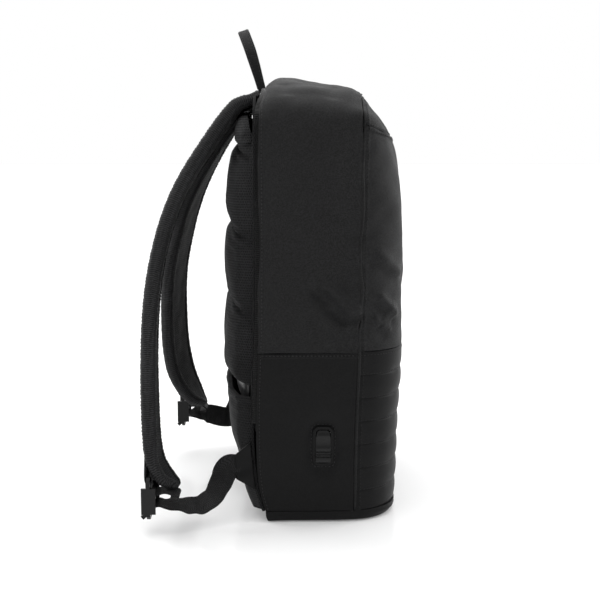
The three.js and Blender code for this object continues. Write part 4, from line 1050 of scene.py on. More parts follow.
@dataclass
class Band:
    """A flat band's middle line and its directions, taken from a packed swept solid."""

    centre: np.ndarray
    wide: np.ndarray
    out: np.ndarray
    half_width: np.ndarray
    half_thick: np.ndarray

    @staticmethod
    def rings(node: str) -> list[np.ndarray]:
        """Cross-sections of a swept solid, from its higher end to its lower one."""
        bare = copy_of(node, node + "_rings")
        mesh = bare.data
        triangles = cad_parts[node].data
        places = points_of(bare)
        tree = KDTree(len(places))
        for index, place in enumerate(places):
            tree.insert(place, index)
        tree.balance()
        to_bare = [tree.find(point.co)[1] for point in triangles.vertices]
        near: list[set[int]] = [set() for _ in mesh.vertices]
        for edge in triangles.edges:
            one, other = (to_bare[corner] for corner in edge.vertices)
            near[one].add(other)
            near[other].add(one)
        ends = [i for i, around in enumerate(near) if around and all(len(near[j]) == 5 for j in around)]
        first = max(ends, key=lambda i: places[i][2])
        seen, edge_of_seen, rings = {first}, {first}, []
        while True:
            edge_of_seen = {j for i in edge_of_seen for j in near[i]} - seen
            if len(edge_of_seen) < 3:
                break
            seen |= edge_of_seen
            rings.append(places[sorted(edge_of_seen)])
        bpy.data.objects.remove(bare)
        return rings

    @classmethod
    def along(cls, node: str, facing: tuple[float, float, float], finer: int) -> "Band":
        """Reads a swept solid and fills in stations between its own.

        Args:
            node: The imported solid.
            facing: Direction that the band's outer face mostly turns to.
            finer: New stations for each of its own.

        Returns:
            The band.
        """
        rings = cls.rings(node)
        centre = np.array([ring.mean(axis=0) for ring in rings])
        run = np.gradient(centre, axis=0)
        run /= np.linalg.norm(run, axis=1, keepdims=True)
        wide = np.zeros_like(centre)
        for i, ring in enumerate(rings):
            wide[i] = np.linalg.svd(ring - centre[i])[2][0]
            if i and wide[i] @ wide[i - 1] < 0.0:
                wide[i] *= -1.0
        out = np.cross(run, wide)
        if (out @ np.array(facing)).mean() < 0.0:
            wide, out = -wide, -out
        half_width = np.array([np.abs((ring - c) @ w).max() for ring, c, w in zip(rings, centre, wide)])
        half_thick = np.array([np.abs((ring - c) @ o).max() for ring, c, o in zip(rings, centre, out)])
        table = cls.fill_in(np.column_stack([centre, wide, half_width, half_thick]), finer)
        centre, wide = table[:, :3], table[:, 3:6]
        run = np.gradient(centre, axis=0)
        out = np.cross(run, wide)
        out /= np.linalg.norm(out, axis=1, keepdims=True)
        wide = np.cross(out, run)
        wide /= np.linalg.norm(wide, axis=1, keepdims=True)
        return cls(centre, wide, out, table[:, 6], table[:, 7])

    @staticmethod
    def fill_in(table: np.ndarray, finer: int) -> np.ndarray:
        """Rows on smooth curves through the rows of a table."""
        padded = np.vstack([2 * table[0] - table[1], table, 2 * table[-1] - table[-2]])
        at = np.linspace(0.0, len(table) - 1.0, (len(table) - 1) * finer + 1)
        whole = np.minimum(at.astype(int), len(table) - 2)
        t = (at - whole)[:, None]
        a, b, c, d = (padded[whole + k] for k in range(4))
        squared = 2 * a - 5 * b + 4 * c - d
        cubed = 3 * b - a - 3 * c + d
        return 0.5 * (2 * b + (c - a) * t + squared * t**2 + cubed * t**3)

    @property
    def lengths(self) -> np.ndarray:
        """Length along the band at each station."""
        steps = np.linalg.norm(np.diff(self.centre, axis=0), axis=1)
        return np.concatenate([[0.0], np.cumsum(steps)])

    def line(self, across: np.ndarray, over: np.ndarray) -> np.ndarray:
        """A line along the band, at distances across it and over its middle."""
        return self.centre + across[:, None] * self.wide + over[:, None] * self.out

    def run_on(self, length: float) -> None:
        """Carries the band's upper end on by a length."""
        ahead = self.centre[0] - self.centre[1]
        ahead *= length / np.linalg.norm(ahead)
        order = np.concatenate([[0, 0], np.arange(len(self.centre))])
        self.centre = np.vstack([self.centre[0] + ahead, self.centre[0] + 0.5 * ahead, self.centre])
        self.wide, self.out = self.wide[order], self.out[order]
        self.half_width, self.half_thick = self.half_width[order], self.half_thick[order]

    def sweep(self, name: str, section: Callable[[float, float, float], np.ndarray]) -> bpy.types.Object:
        """Sweeps a closed section along the band.

        Args:
            name: Name of the piece.
            section: Function of half width, half thickness and length to the section's points.

        Returns:
            The closed, mapped piece.
        """
        lengths = self.lengths
        sections = np.array([section(w, t, s) for w, t, s in zip(self.half_width, self.half_thick, lengths)])
        count, sides = sections.shape[:2]
        across = sections[..., :1] * self.wide[:, None]
        over = sections[..., 1:] * self.out[:, None]
        points = (self.centre[:, None] + across + over).reshape(-1, 3)
        faces = []
        for i in range(count - 1):
            for j in range(sides):
                k = (j + 1) % sides
                faces.append([i * sides + j, i * sides + k, (i + 1) * sides + k, (i + 1) * sides + j])
        faces.append(list(range(sides)))
        faces.append([(count - 1) * sides + j for j in range(sides)])
        piece = from_faces(name, points, faces)
        around = sections[..., 0].reshape(-1)
        along = np.repeat(lengths, sides)
        lay_map(piece, lambda _: np.column_stack([around, along]))
        turn_faces_outwards(piece)
        smooth_shading(piece, 50.0)
        return piece


def flat_section(edge: float = 0.3, selvedge: float = 0.12) -> Callable[[float, float, float], np.ndarray]:
    """Section of a flat tape with rounded, slightly thicker selvedges.

    Args:
        edge: Share of the thickness that rounds the edges.
        selvedge: How much thicker the selvedges are than the middle.

    Returns:
        The section for Band.sweep.
    """

    def section(half: float, thick: float, _: float) -> np.ndarray:
        """Points of the section."""
        across = np.array([0.0, 0.45, 0.82, 0.92, 0.975, 1.0])
        heights = np.array([1.0, 1.0, 1.0, 1.0 + selvedge, 1.0 - edge * 0.4, 0.35])
        over = thick * heights * (1.0 - selvedge / 2)
        both = np.concatenate([-across[:0:-1], across]) * half
        top = np.column_stack([both, np.concatenate([over[:0:-1], over])])
        return np.vstack([top, top[::-1] * [1.0, -1.0]])

    return section


# The bag


def shell_chart(points: np.ndarray) -> np.ndarray:
    """Map of the side and top panels: across the bag's depth and round its outline."""
    return np.column_stack([points[:, 1], BAG.run_round(points)])


def front_chart(points: np.ndarray) -> np.ndarray:
    """Map of the front panels: round their corners, and up."""
    x, y, z = points.T
    front = BAG.seam_at(z) - BAG.pocket_depth
    return np.column_stack([np.sign(x) * (np.abs(x) + np.maximum(y - front, 0.0)), z])


def flat_chart(points: np.ndarray) -> np.ndarray:
    """Map of the back's pieces: across, spread over their sides, and up."""
    x, y, z = points.T
    return np.column_stack([np.sign(x) * (np.abs(x) + 0.110 - y), z])


def floor_chart(points: np.ndarray) -> np.ndarray:
    """Map of the base: across and along the bag's depth, spread over its rim."""
    x, y, z = points.T
    return np.column_stack([x + np.sign(x) * z, y + np.sign(y) * z])


@dataclass
class Panel:
    """A cloth panel made from a packed sheet."""

    name: str
    node: str
    finish: Finish
    chart: Chart
    flat: tuple[float, float]
    levels: int = 3
    rise: Chart | None = shell_rise
    area: float | None = None
    rim: float = 0.0009
    rows: tuple[float, ...] = ()

    def shape(self) -> bpy.types.Object:
        """Builds the panel's shape."""
        piece = copy_of(self.node, self.name)
        cut_rows(piece, self.rows)
        round_rims(piece, self.rim)
        subdivide(piece, self.levels)
        if self.rise is not None:
            drape(piece, self.rise)
        return piece

    def build(self) -> bpy.types.Object:
        piece = self.shape()
        return self.finished(piece)

    def finished(self, piece: bpy.types.Object) -> bpy.types.Object:
        """Maps and dresses a shaped panel."""
        lay_map(piece, self.chart)
        smooth_shading(piece)
        dress(piece, self.finish, self.node)
        return piece


@dataclass
class MainBody:
    """Side and top panel, lower side panels, base and back board, with their top-stitching."""

    sewing: Sewing
    hem: float = 0.0030
    top_hem: float = 0.0017
    set_back: float = 0.006
    port_centre: tuple[float, float] = (0.0111, 0.081)
    port_hole: tuple[float, float] = (0.0178, 0.0378)
    port_dent: float = 0.0022
    dent_from_centre: float = 0.013
    dent_width: float = 0.006
    top_height: float = 0.0006
    top_width: float = 0.0045
    top_edge: float = 0.0012
    stitch_sink: float = 0.0004
    stitch_width: float = 0.0008
    corner_lift: float = 0.0016
    corner_width: float = 0.012
    base_corner: tuple[float, float] = (-0.058, 0.0075)
    base_crumple: float = 0.00025
    tuck: float = 0.0005
    tuck_reach: float = 0.012

    def lower_rise(self, points: np.ndarray) -> np.ndarray:
        """Relief of the lower side panels: a pressed hem along the top, and a dent round the port."""
        y, z = points[:, 1], points[:, 2]
        below = BAG.lower_seam - z
        rise = shell_rise(points)
        rise += self.top_height * smooth_step((self.top_width - below) / self.top_edge)
        rise -= self.stitch_sink * bell(below - self.top_hem, self.stitch_width)
        away = np.hypot(y - self.port_centre[0], (z - self.port_centre[1]) / 1.7)
        dent = self.port_dent * bell(away - self.dent_from_centre, self.dent_width)
        return rise - dent * (points[:, 0] < 0.0)

    def base_rise(self, points: np.ndarray) -> np.ndarray:
        """Relief of the base: its foot stays flat, and folds lift its front corners."""
        z = points[:, 2]
        off_floor = smooth_step((z - 0.002) / 0.004)
        at_corner = bell(points[:, 1] - self.base_corner[0], self.corner_width)
        half_way_up = bell(z - self.base_corner[1], 0.003)
        fold = self.corner_lift * at_corner * half_way_up
        return off_floor * (fold + self.base_crumple * CRUMPLE(points))

    def board_rise(self, points: np.ndarray) -> np.ndarray:
        """Relief of the satin over the board's edge: small tucks along the seam."""
        run = on_a_line(BAG.run_round(points))
        side = np.minimum(BAG.half_width - np.abs(points[:, 0]), 0.44 - points[:, 2])
        return self.tuck * PUCKER(run * 0.8) * fading(np.maximum(side, 0.0), self.tuck_reach)

    def left_lower_panel(self) -> bpy.types.Object:
        """The left lower panel, with a hole for the port."""
        panel = Panel("lower_side_left", "side_lower_right", COATED, shell_chart, (0.1635, 0.100), rise=None)
        piece = panel.shape()
        points = points_of(piece)
        points[:, 0] *= -1.0
        move_points(piece, points)
        turn_faces_outwards(piece)
        subdivide(piece, 1)
        drape(piece, self.lower_rise)
        bpy.ops.object.select_all(action="DESELECT")
        bpy.ops.mesh.primitive_cube_add(size=1.0, location=(-0.149, *self.port_centre))
        cutter = bpy.context.object
        bpy.ops.object.mode_set(mode="EDIT")
        bpy.ops.transform.resize(value=(0.03, *self.port_hole))
        bpy.ops.mesh.bevel(offset=0.005, segments=4, affect="EDGES")
        bpy.ops.object.mode_set(mode="OBJECT")
        apply_modifier(piece, "BOOLEAN", object=cutter, operation="DIFFERENCE", solver="EXACT")
        bpy.data.objects.remove(cutter)
        panel.node = "side_lower_left"
        return panel.finished(piece)

    def back_edge(self, z: np.ndarray) -> np.ndarray:
        """Line of the top-stitching beside the back edge, at a height."""
        step = self.set_back * smooth_step(2.0 * (z - BAG.shoulder_start) / BAG.shoulder_radius - 1.0)
        return BAG.back_at(z) - step - self.hem

    def build(self) -> None:
        """Builds and sews the body."""
        rows = (0.183, 0.191, 0.200, 0.210, 0.231, 0.242, 0.253, 0.279, 0.294, 0.330, 0.375)
        cloth = (WOVEN, shell_chart, (0.803, 0.101))
        gusset = Panel("side_and_top_panel", "main_gusset", *cloth, rows=rows).build()
        left = self.left_lower_panel()
        cloth = (COATED, shell_chart, (0.1635, 0.100))
        right = Panel("lower_side_right", "side_lower_right", *cloth, rise=self.lower_rise).build()
        Panel("base", "base_panel", COATED, floor_chart, (0.32, 0.15), rise=self.base_rise).build()
        # The board's edge takes the darker mesh: painted shade of the gap beside the pad.
        cloth = (PAINTED_SHADE_MESH, flat_chart, (0.297, 0.43))
        Panel("back_board_cover", "back_board", *cloth, rise=self.board_rise).build()
        self.sew_edges(gusset, left, right)

    def sew_edges(self, gusset: bpy.types.Object, left: bpy.types.Object, right: bpy.types.Object) -> None:
        """Sews along the back edge, and along the lower side panels' tops."""
        whole = BAG.outline_length
        low = BAG.lower_seam + 0.004
        runs = np.linspace(low, whole - low, 900)
        rows = [self.sewing.laid(BAG.shell_line(runs, self.back_edge), surface_tree(gusset))]
        for panel, side in ((left, Side.LEFT), (right, Side.RIGHT)):
            cloth = surface_tree(panel)
            up = np.linspace(BAG.base_top + 0.003, BAG.lower_seam - 0.002, 120)
            runs = up if side is Side.LEFT else whole - up
            rows.append(self.sewing.laid(BAG.shell_line(runs, self.back_edge), cloth))
            z = BAG.lower_seam - self.top_hem
            y = np.linspace(BAG.seam_at(z) + 0.004, BAG.back_at(z) - 0.005, 60)
            x = np.full_like(y, side.sign * (BAG.half_width + 0.003))
            rows.append(self.sewing.laid(np.column_stack([x, y, np.full_like(y, z)]), cloth))
        dress(self.sewing.sew("edge_stitches", rows), THREAD, slot=Slot.WOVEN)


@dataclass
class FrontPocket:
    """Ribbed lower front, upper front, yoke and the welt in the front seam."""

    sewing: Sewing
    felled: float = 0.0078
    top_row: float = 0.0035
    yoke_rows: tuple[float, float] = (-0.0030, 0.0034)
    rib_height: float = 0.0004
    rib_sink: float = 0.0008
    rib_line: float = 0.0009
    rib_tug: float = 0.00028
    rib_reach: float = 0.004
    pucker: float = 0.0007
    pucker_reach: float = 0.008
    lapped: float = 0.0011
    sunk: float = 0.0005

    def ribbed_rise(self, points: np.ndarray) -> np.ndarray:
        """Relief of the ribbed panel: soft ribs with a narrow sewn line between them."""
        z = points[:, 2]
        away = np.abs(z[:, None] - BAG.rib_levels).min(axis=1)
        rib = self.rib_height * smooth_step(away / (BAG.rib_pitch / 2.0))
        line = self.rib_sink * bell(away, self.rib_line)
        tug = self.rib_tug * PUCKER(points * [1.0, 1.0, 0.0]) * fading(away, self.rib_reach)
        return shell_rise(points) + rib - line + tug

    def upper_rise(self, points: np.ndarray) -> np.ndarray:
        """Relief of the upper front and yoke: the shell's, and puckers along the yoke seam."""
        away = points[:, 2] - BAG.yoke_line(points[:, 0])
        waves = PUCKER(points * [1.0, 1.0, 0.0])
        pucker = self.pucker * waves * fading(np.abs(away), self.pucker_reach)
        below = smooth_step((0.0034 + away) / 0.0012) * (away < 0.0005)
        above = smooth_step((0.003 - away) / 0.002) * (away >= 0.0005)
        return shell_rise(points) + pucker + (self.lapped * below - self.sunk * above)

    def welt_rise(self, points: np.ndarray) -> np.ndarray:
        """Relief of the welt: it waves with the puckers of its seam."""
        run = on_a_line(BAG.run_round(points))
        loose = 0.35 + 0.65 * smooth_step((points[:, 2] - 0.166) / 0.03)
        over = smooth_step((points[:, 2] - 0.405) / 0.02)
        return 0.0002 + shell_rise(points) + loose * 0.0005 * PUCKER(run * 1.1) - 0.0012 * over

    def build(self) -> None:
        """Builds and sews the front."""
        cloth = (COATED, front_chart, (0.352, 0.166))
        lower = Panel("ribbed_front", "front_lower_panel", *cloth, rise=self.ribbed_rise).build()
        rows = (0.188, 0.209, 0.230, 0.251, 0.272)
        cloth = (WOVEN, front_chart, (0.352, 0.220))
        upper = Panel("upper_front", "front_upper_panel", *cloth, rise=self.upper_rise, rows=rows).build()
        cloth = (WOVEN, front_chart, (0.33, 0.045))
        yoke = Panel("yoke", "front_yoke", *cloth, rise=self.upper_rise).build()
        self.welt()
        self.sew_seams(lower, upper, yoke)

    def welt(self) -> None:
        """The puckered welt in the front seam."""
        piece = copy_of("front_piping", "seam_welt")
        subdivide(piece, 2)
        drape(piece, self.welt_rise)
        lay_map(piece, shell_chart)
        smooth_shading(piece)
        dress(piece, WELT, "front_piping")

    def sew_seams(self, lower: bpy.types.Object, upper: bpy.types.Object, yoke: bpy.types.Object) -> None:
        """Sews the ribs, the felled front seam and both sides of the yoke seam."""
        ribbed = surface_tree(lower)
        rows = []
        for height in (*BAG.rib_levels, BAG.rib_top - self.top_row):
            line = BAG.front_line(lambda x, level=height: np.full_like(x, level))
            rows.append(self.sewing.laid(line, ribbed))
        dress(self.sewing.sew("rib_stitches", rows, 0.0), DARK_THREAD)
        runs = np.linspace(BAG.base_top + 0.003, BAG.outline_length - BAG.base_top - 0.003, 1200)
        ahead = BAG.shell_line(runs, lambda z: BAG.seam_at(z) - self.felled)
        cloth = surface_tree(lower, upper, yoke)
        rows = [self.sewing.laid(ahead, cloth)]
        for tree, offset in zip((surface_tree(upper), surface_tree(yoke)), self.yoke_rows):
            rows.append(self.sewing.laid(BAG.front_line(lambda x, by=offset: BAG.yoke_line(x) + by), tree))
        dress(self.sewing.sew("front_seam_stitches", rows), DARK_THREAD, slot=Slot.WOVEN)


@dataclass
class BackPadding:
    """Mesh-covered pad with chevron creases, luggage sleeve and the satin behind its mouth."""

    sewing: Sewing
    creases: tuple[float, ...] = (0.389, 0.3092, 0.2321)
    mouth: float = 0.140
    mouth_dip: float = 0.45
    mouth_rows: tuple[float, float] = (0.0028, 0.0068)
    mouth_bound: float = 0.006
    mouth_fold: float = 0.0007
    mouth_pitch: float = 0.0062
    mouth_reach: float = 0.022
    level_half: float = 0.062
    slope: float = 0.31
    bend: float = 0.010
    crease_half: float = 0.004
    crease_sink: float = 0.0016
    crease_width: float = 0.0026
    gather: float = 0.0007
    gather_reach: float = 0.009
    side_fold: float = 0.0012
    fold_pitch: float = 0.0085
    fold_reach: float = 0.016
    pillow: float = 0.0026
    pillow_sunk: float = 0.0014
    pad_wave: float = 0.0007
    sleeve_wave: float = 0.0006
    sunk: float = 0.0042
    topmost: float = 0.408
    lifted: float = 0.007
    pressure: float = 4.0
    frames: int = 16

    def chevron(self, x: np.ndarray) -> np.ndarray:
        """How far the creases have dropped at a place across the back."""
        past = np.maximum(np.abs(x) - self.level_half, 0.0)
        return self.slope * (np.hypot(past, self.bend) - self.bend)

    def crease_away(self, points: np.ndarray) -> np.ndarray:
        """Distance to the nearest crease."""
        level = points[:, 2] + self.chevron(points[:, 0])
        return np.abs(level[:, None] - np.array(self.creases)).min(axis=1)

    def below_mouth(self, points: np.ndarray) -> np.ndarray:
        """Distance of each point under the sleeve's mouth."""
        return self.mouth - self.mouth_dip * self.chevron(points[:, 0]) - points[:, 2]

    def at_crease(self, points: np.ndarray) -> np.ndarray:
        """Whether each point of the pad is sewn down in a crease."""
        return self.crease_away(points) < self.crease_half

    def at_mouth(self, points: np.ndarray) -> np.ndarray:
        """Whether each point of the sleeve belongs to its bound mouth."""
        return self.below_mouth(points) < self.mouth_bound

    def pad_rise(self, points: np.ndarray) -> np.ndarray:
        """Relief of the pad: tight creases with gathers that fan out from them."""
        away = self.crease_away(points)
        gather = self.gather * PUCKER(on_a_line(points[:, 0])) * fading(away, self.gather_reach)
        outwards = smooth_step((np.abs(points[:, 0]) - 0.07) / 0.05)
        turns = np.cos(away / self.fold_pitch * 2.0 * math.pi)
        folds = self.side_fold * outwards * turns * fading(away, self.fold_reach)
        pillow = self.pillow * smooth_step(away / self.fold_reach) - self.pillow_sunk
        crease = self.crease_sink * bell(away, self.crease_width)
        return gather - folds + pillow - crease + self.pad_wave * PAD_WAVES(points)

    def sleeve_rise(self, points: np.ndarray) -> np.ndarray:
        """Relief of the sleeve: a bound mouth with parallel folds under it."""
        below = self.below_mouth(points)
        waves = np.sin(below / self.mouth_pitch * math.pi)
        folds = self.mouth_fold * waves * fading(below, self.mouth_reach) * (below > 0.0)
        bound = 0.0005 * smooth_step((0.0075 - below) / 0.0015)
        return folds + bound + self.sleeve_wave * PAD_WAVES(points)

    def behind(self, points: np.ndarray) -> np.ndarray:
        """Places on the board's side of each point."""
        return points - np.array([0.0, 1.0, 0.0])

    def swell(self, piece: bpy.types.Object, held: np.ndarray, cap: float) -> None:
        """Lets a pad's cover swell under pressure between the points that are sewn or glued down.

        Args:
            piece: The pad.
            held: For each point, 1 where it is held and 0 where it is free.
            cap: Furthest that a point may move.
        """
        before = points_of(piece)
        group = piece.vertex_groups.new(name="held")
        for index in np.flatnonzero(held > 0.01):
            group.add([int(index)], float(held[index]), "REPLACE")
        cloth = piece.modifiers.new("swell", "CLOTH")
        cloth.settings.quality = 5
        cloth.settings.mass = 0.15
        cloth.settings.tension_stiffness = 20.0
        cloth.settings.compression_stiffness = 20.0
        cloth.settings.bending_stiffness = 0.8
        cloth.settings.use_pressure = True
        cloth.settings.uniform_pressure_force = self.pressure
        cloth.settings.vertex_group_mass = group.name
        cloth.settings.effector_weights.gravity = 0.0
        cloth.collision_settings.use_collision = False
        cloth.point_cache.frame_start = 1
        cloth.point_cache.frame_end = self.frames
        for number in range(1, self.frames + 1):
            bpy.context.scene.frame_set(number)
        shown = piece.evaluated_get(bpy.context.evaluated_depsgraph_get())
        after = points_of(shown)
        piece.modifiers.remove(cloth)
        piece.vertex_groups.remove(group)
        bpy.context.scene.frame_set(1)
        moves = after - before
        far = np.linalg.norm(moves, axis=1, keepdims=True)
        moves *= np.minimum(1.0, cap / np.maximum(far, 1e-9))
        log.info("%s: swelled by up to %.1f mm", piece.name, 1000.0 * float(min(far.max(), cap)))
        move_points(piece, before + moves)

    def sew_down(self, piece: bpy.types.Object) -> None:
        """Pulls a pad's side edges down on to the board."""
        points = points_of(piece)
        half = np.abs(points[:, 0]).max()
        points[:, 1] -= self.sunk * smooth_step((np.abs(points[:, 0]) - half + 0.010) / 0.009)
        high = smooth_step((points[:, 2] - self.topmost + 0.030) / 0.025)
        points[:, 2] += self.lifted * high
        move_points(piece, points)

    def padded(self, name: str, node: str, rise: Chart, hold: Chart, fill: float) -> bpy.types.Object:
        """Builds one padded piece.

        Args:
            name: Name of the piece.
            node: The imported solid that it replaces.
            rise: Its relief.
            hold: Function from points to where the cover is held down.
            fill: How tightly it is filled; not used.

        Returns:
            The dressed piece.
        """
        piece = copy_of(node, name)
        round_rims(piece)
        subdivide(piece, 2)
        points, normals = points_of(piece), normals_of(piece)
        under = normals[:, 1] < 0.35
        self.swell(piece, np.maximum(under.astype(float), hold(points)), 0.004)
        subdivide(piece, 1)
        self.sew_down(piece)
        drape(piece, rise, self.behind, sways=False)
        lay_map(piece, flat_chart)
        smooth_shading(piece, 75.0)
        dress(piece, SPACER, node)
        return piece

    def build(self) -> None:
        """Builds and sews the back's padding."""
        pad = self.padded("back_pad_cover", "back_pad", self.pad_rise, self.at_crease, 0.7)
        sleeve = self.padded("luggage_sleeve_cover", "luggage_sleeve", self.sleeve_rise, self.at_mouth, 0.5)
        Panel("sleeve_mouth_lining", "sleeve_lining", SATIN, flat_chart, (0.262, 0.056), rise=None).build()
        back = Vector((0.0, -1.0, 0.0))
        rows = []
        across = np.linspace(-0.134, 0.134, 300)
        on_pad, on_sleeve = surface_tree(pad), surface_tree(sleeve)
        for crease in self.creases:
            line = np.column_stack([across, np.full_like(across, 0.14), crease - self.chevron(across)])
            rows.append(self.sewing.laid(line, on_pad, back))
        for below in self.mouth_rows:
            z = self.mouth - self.mouth_dip * self.chevron(across) - below
            line = np.column_stack([across * 1.03, np.full_like(across, 0.14), z])
            rows.append(self.sewing.laid(line, on_sleeve, back))
        dress(self.sewing.sew("back_stitches", rows), DARK_THREAD, slot=Slot.MESH)


@dataclass
class MainZip:
    """The main zip's tape in its groove, with its row of teeth."""

    pitch: float = 0.0019
    width: float = 0.0056

    def build(self) -> None:
        """Builds the tape and the teeth."""
        tape = copy_of("zip_tape", "zip_tape_cloth")
        round_rims(tape, 0.0004)
        subdivide(tape, 2)
        lay_map(tape, shell_chart)
        smooth_shading(tape)
        dress(tape, TAPE, "zip_tape")
        teeth = self.teeth()
        dress(teeth, PLASTIC, "zip_coil")

    def tooth(self) -> tuple[np.ndarray, list[list[int]]]:
        """One tooth: a small block across the tape, bevelled."""
        bpy.ops.object.select_all(action="DESELECT")
        bpy.ops.mesh.primitive_cube_add(size=1.0)
        block = bpy.context.object
        bpy.ops.object.mode_set(mode="EDIT")
        bpy.ops.transform.resize(value=(self.width, self.pitch * 0.62, 0.0016))
        bpy.ops.mesh.bevel(offset=0.0002, segments=1, affect="EDGES")
        bpy.ops.object.mode_set(mode="OBJECT")
        shape = points_of(block), [list(face.vertices) for face in block.data.polygons]
        bpy.data.objects.remove(block)
        return shape

    def teeth(self) -> bpy.types.Object:
        """All the teeth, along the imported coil."""
        coil = copy_of("zip_coil", "coil_line")
        points = points_of(coil)
        bpy.data.objects.remove(coil)
        runs = BAG.run_round(points)
        bins = np.linspace(runs.min(), runs.max(), 46)
        places = np.digitize(runs, bins)
        line = np.array([points[places == k].mean(axis=0) for k in np.unique(places)])
        line = Band.fill_in(line, 4)
        middles = spaced(line, self.pitch)
        run = np.gradient(middles, axis=0)
        run /= np.linalg.norm(run, axis=1, keepdims=True)
        away = middles - BAG.heart(middles)
        away[:, 1] = 0.0
        out = away - (away * run).sum(axis=1, keepdims=True) * run
        out /= np.linalg.norm(out, axis=1, keepdims=True)
        shape, faces = self.tooth()
        all_points, all_faces = [], []
        for number, (place, along, up) in enumerate(zip(middles, run, out)):
            turn = np.array([np.cross(along, up), along, up])
            all_faces.extend([corner + number * len(shape) for corner in face] for face in faces)
            all_points.append(shape @ turn + place)
        piece = from_faces("zip_teeth", np.concatenate(all_points), all_faces)
        turn_faces_outwards(piece)
        smooth_shading(piece, 40.0)
        return piece


@dataclass
class ShoulderStrap:
    """One padded strap: woven outer face, mesh lining and a bound edge with two rows of stitches."""

    side: Side
    sewing: Sewing
    binding: float = 0.0085
    proud: float = 0.0012
    tip: float = 0.020
    sewn_in: float = 0.010

    def contour(self, share: np.ndarray) -> np.ndarray:
        """Share of the strap's half thickness at a share of its half width."""
        return np.maximum(1.0 - np.abs(share) ** 8, 0.0) ** 0.35

    def face_section(self, outer: bool) -> Callable[[float, float, float], np.ndarray]:
        """Section of the outer or the inner half of the pad."""
        share = np.sin(np.linspace(-0.5, 0.5, 25) * math.pi)

        def section(half: float, thick: float, _: float) -> np.ndarray:
            """Points of the section."""
            way = 1.0 if outer else -1.0
            height = thick * self.contour(share) * way
            skin = np.column_stack([share * half * 0.995, height])
            back = np.column_stack([share[::-4] * half * 0.97, np.full(len(share[::-4]), 0.0001 * way)])
            return np.vstack([skin, back])

        return section

    def bound_section(self, edge: float) -> Callable[[float, float, float], np.ndarray]:
        """Section of the binding round one edge."""

        def section(half: float, thick: float, length: float) -> np.ndarray:
            """Points of the section."""
            reach = min(self.binding, 0.6 * half)
            share = 1.0 - (reach / half) * np.cos(np.linspace(0.0, 0.5, 9) * math.pi)
            upper = np.column_stack([share * half, thick * self.contour(share)])
            middle = np.vstack([upper, upper[-2::-1] * [1.0, -1.0]])
            run = np.gradient(middle, axis=0)
            out = np.column_stack([-run[:, 1], run[:, 0]])
            out /= np.linalg.norm(out, axis=1, keepdims=True) + 1e-12
            ripple = 1.0 + 0.22 * math.sin(length / 0.0036 * 2.0 * math.pi) * 0.5
            lift = self.proud * np.clip(np.minimum(np.arange(17), np.arange(17)[::-1]) / 1.5 + 0.15, 0.0, 1.0)
            outer = middle + out * (lift * ripple)[:, None]
            inner = middle - out * 0.0004
            points = np.vstack([outer, inner[::-1]])
            return points * [edge, 1.0]

        return section

    def round_end(self, band: Band) -> None:
        """Narrows and thins the strap's lower end to a rounded tip."""
        left = band.lengths[-1] - band.lengths
        room = np.clip(left / self.tip, 0.0, 1.0)
        band.half_width *= 0.22 + 0.78 * np.sqrt(1.0 - (1.0 - room) ** 2)
        band.half_thick *= 0.45 + 0.55 * np.sqrt(1.0 - (1.0 - np.minimum(room * 1.6, 1.0)) ** 2)

    def build(self) -> None:
        """Builds the strap's pieces and sews its binding."""
        name = self.side.value
        node = f"shoulder_strap_{name}"
        band = Band.along(node, (0.0, 1.0, 0.0), 6)
        self.round_end(band)
        band.run_on(self.sewn_in)
        cover = band.sweep(f"strap_cover_{name}", self.face_section(True))
        self.crumple(cover)
        dress(cover, WOVEN, node)
        lining = band.sweep(f"strap_lining_{name}", self.face_section(False))
        self.crumple(lining)
        dress(lining, SPACER)
        rows = []
        for edge, label in ((-1.0, "inside"), (1.0, "outside")):
            bound = band.sweep(f"strap_binding_{name}_{label}", self.bound_section(edge))
            dress(bound, BINDING)
            across = edge * (band.half_width - 0.6 * np.minimum(self.binding, 0.6 * band.half_width))
            tree = surface_tree(bound)
            for face in (1.0, -1.0):
                over = face * (band.half_thick + 0.004)
                rows.append(self.sewing.laid(band.line(across, over)[4:-4], tree))
        dress(self.sewing.sew(f"strap_stitches_{name}", rows), THREAD, slot=Slot.WEBBING)

    def crumple(self, piece: bpy.types.Object) -> None:
        """Small unevenness of the strap's cloth over its foam."""
        points = points_of(piece)
        move_points(piece, points + normals_of(piece) * (0.00035 * TAPE_WAVES(points))[:, None])


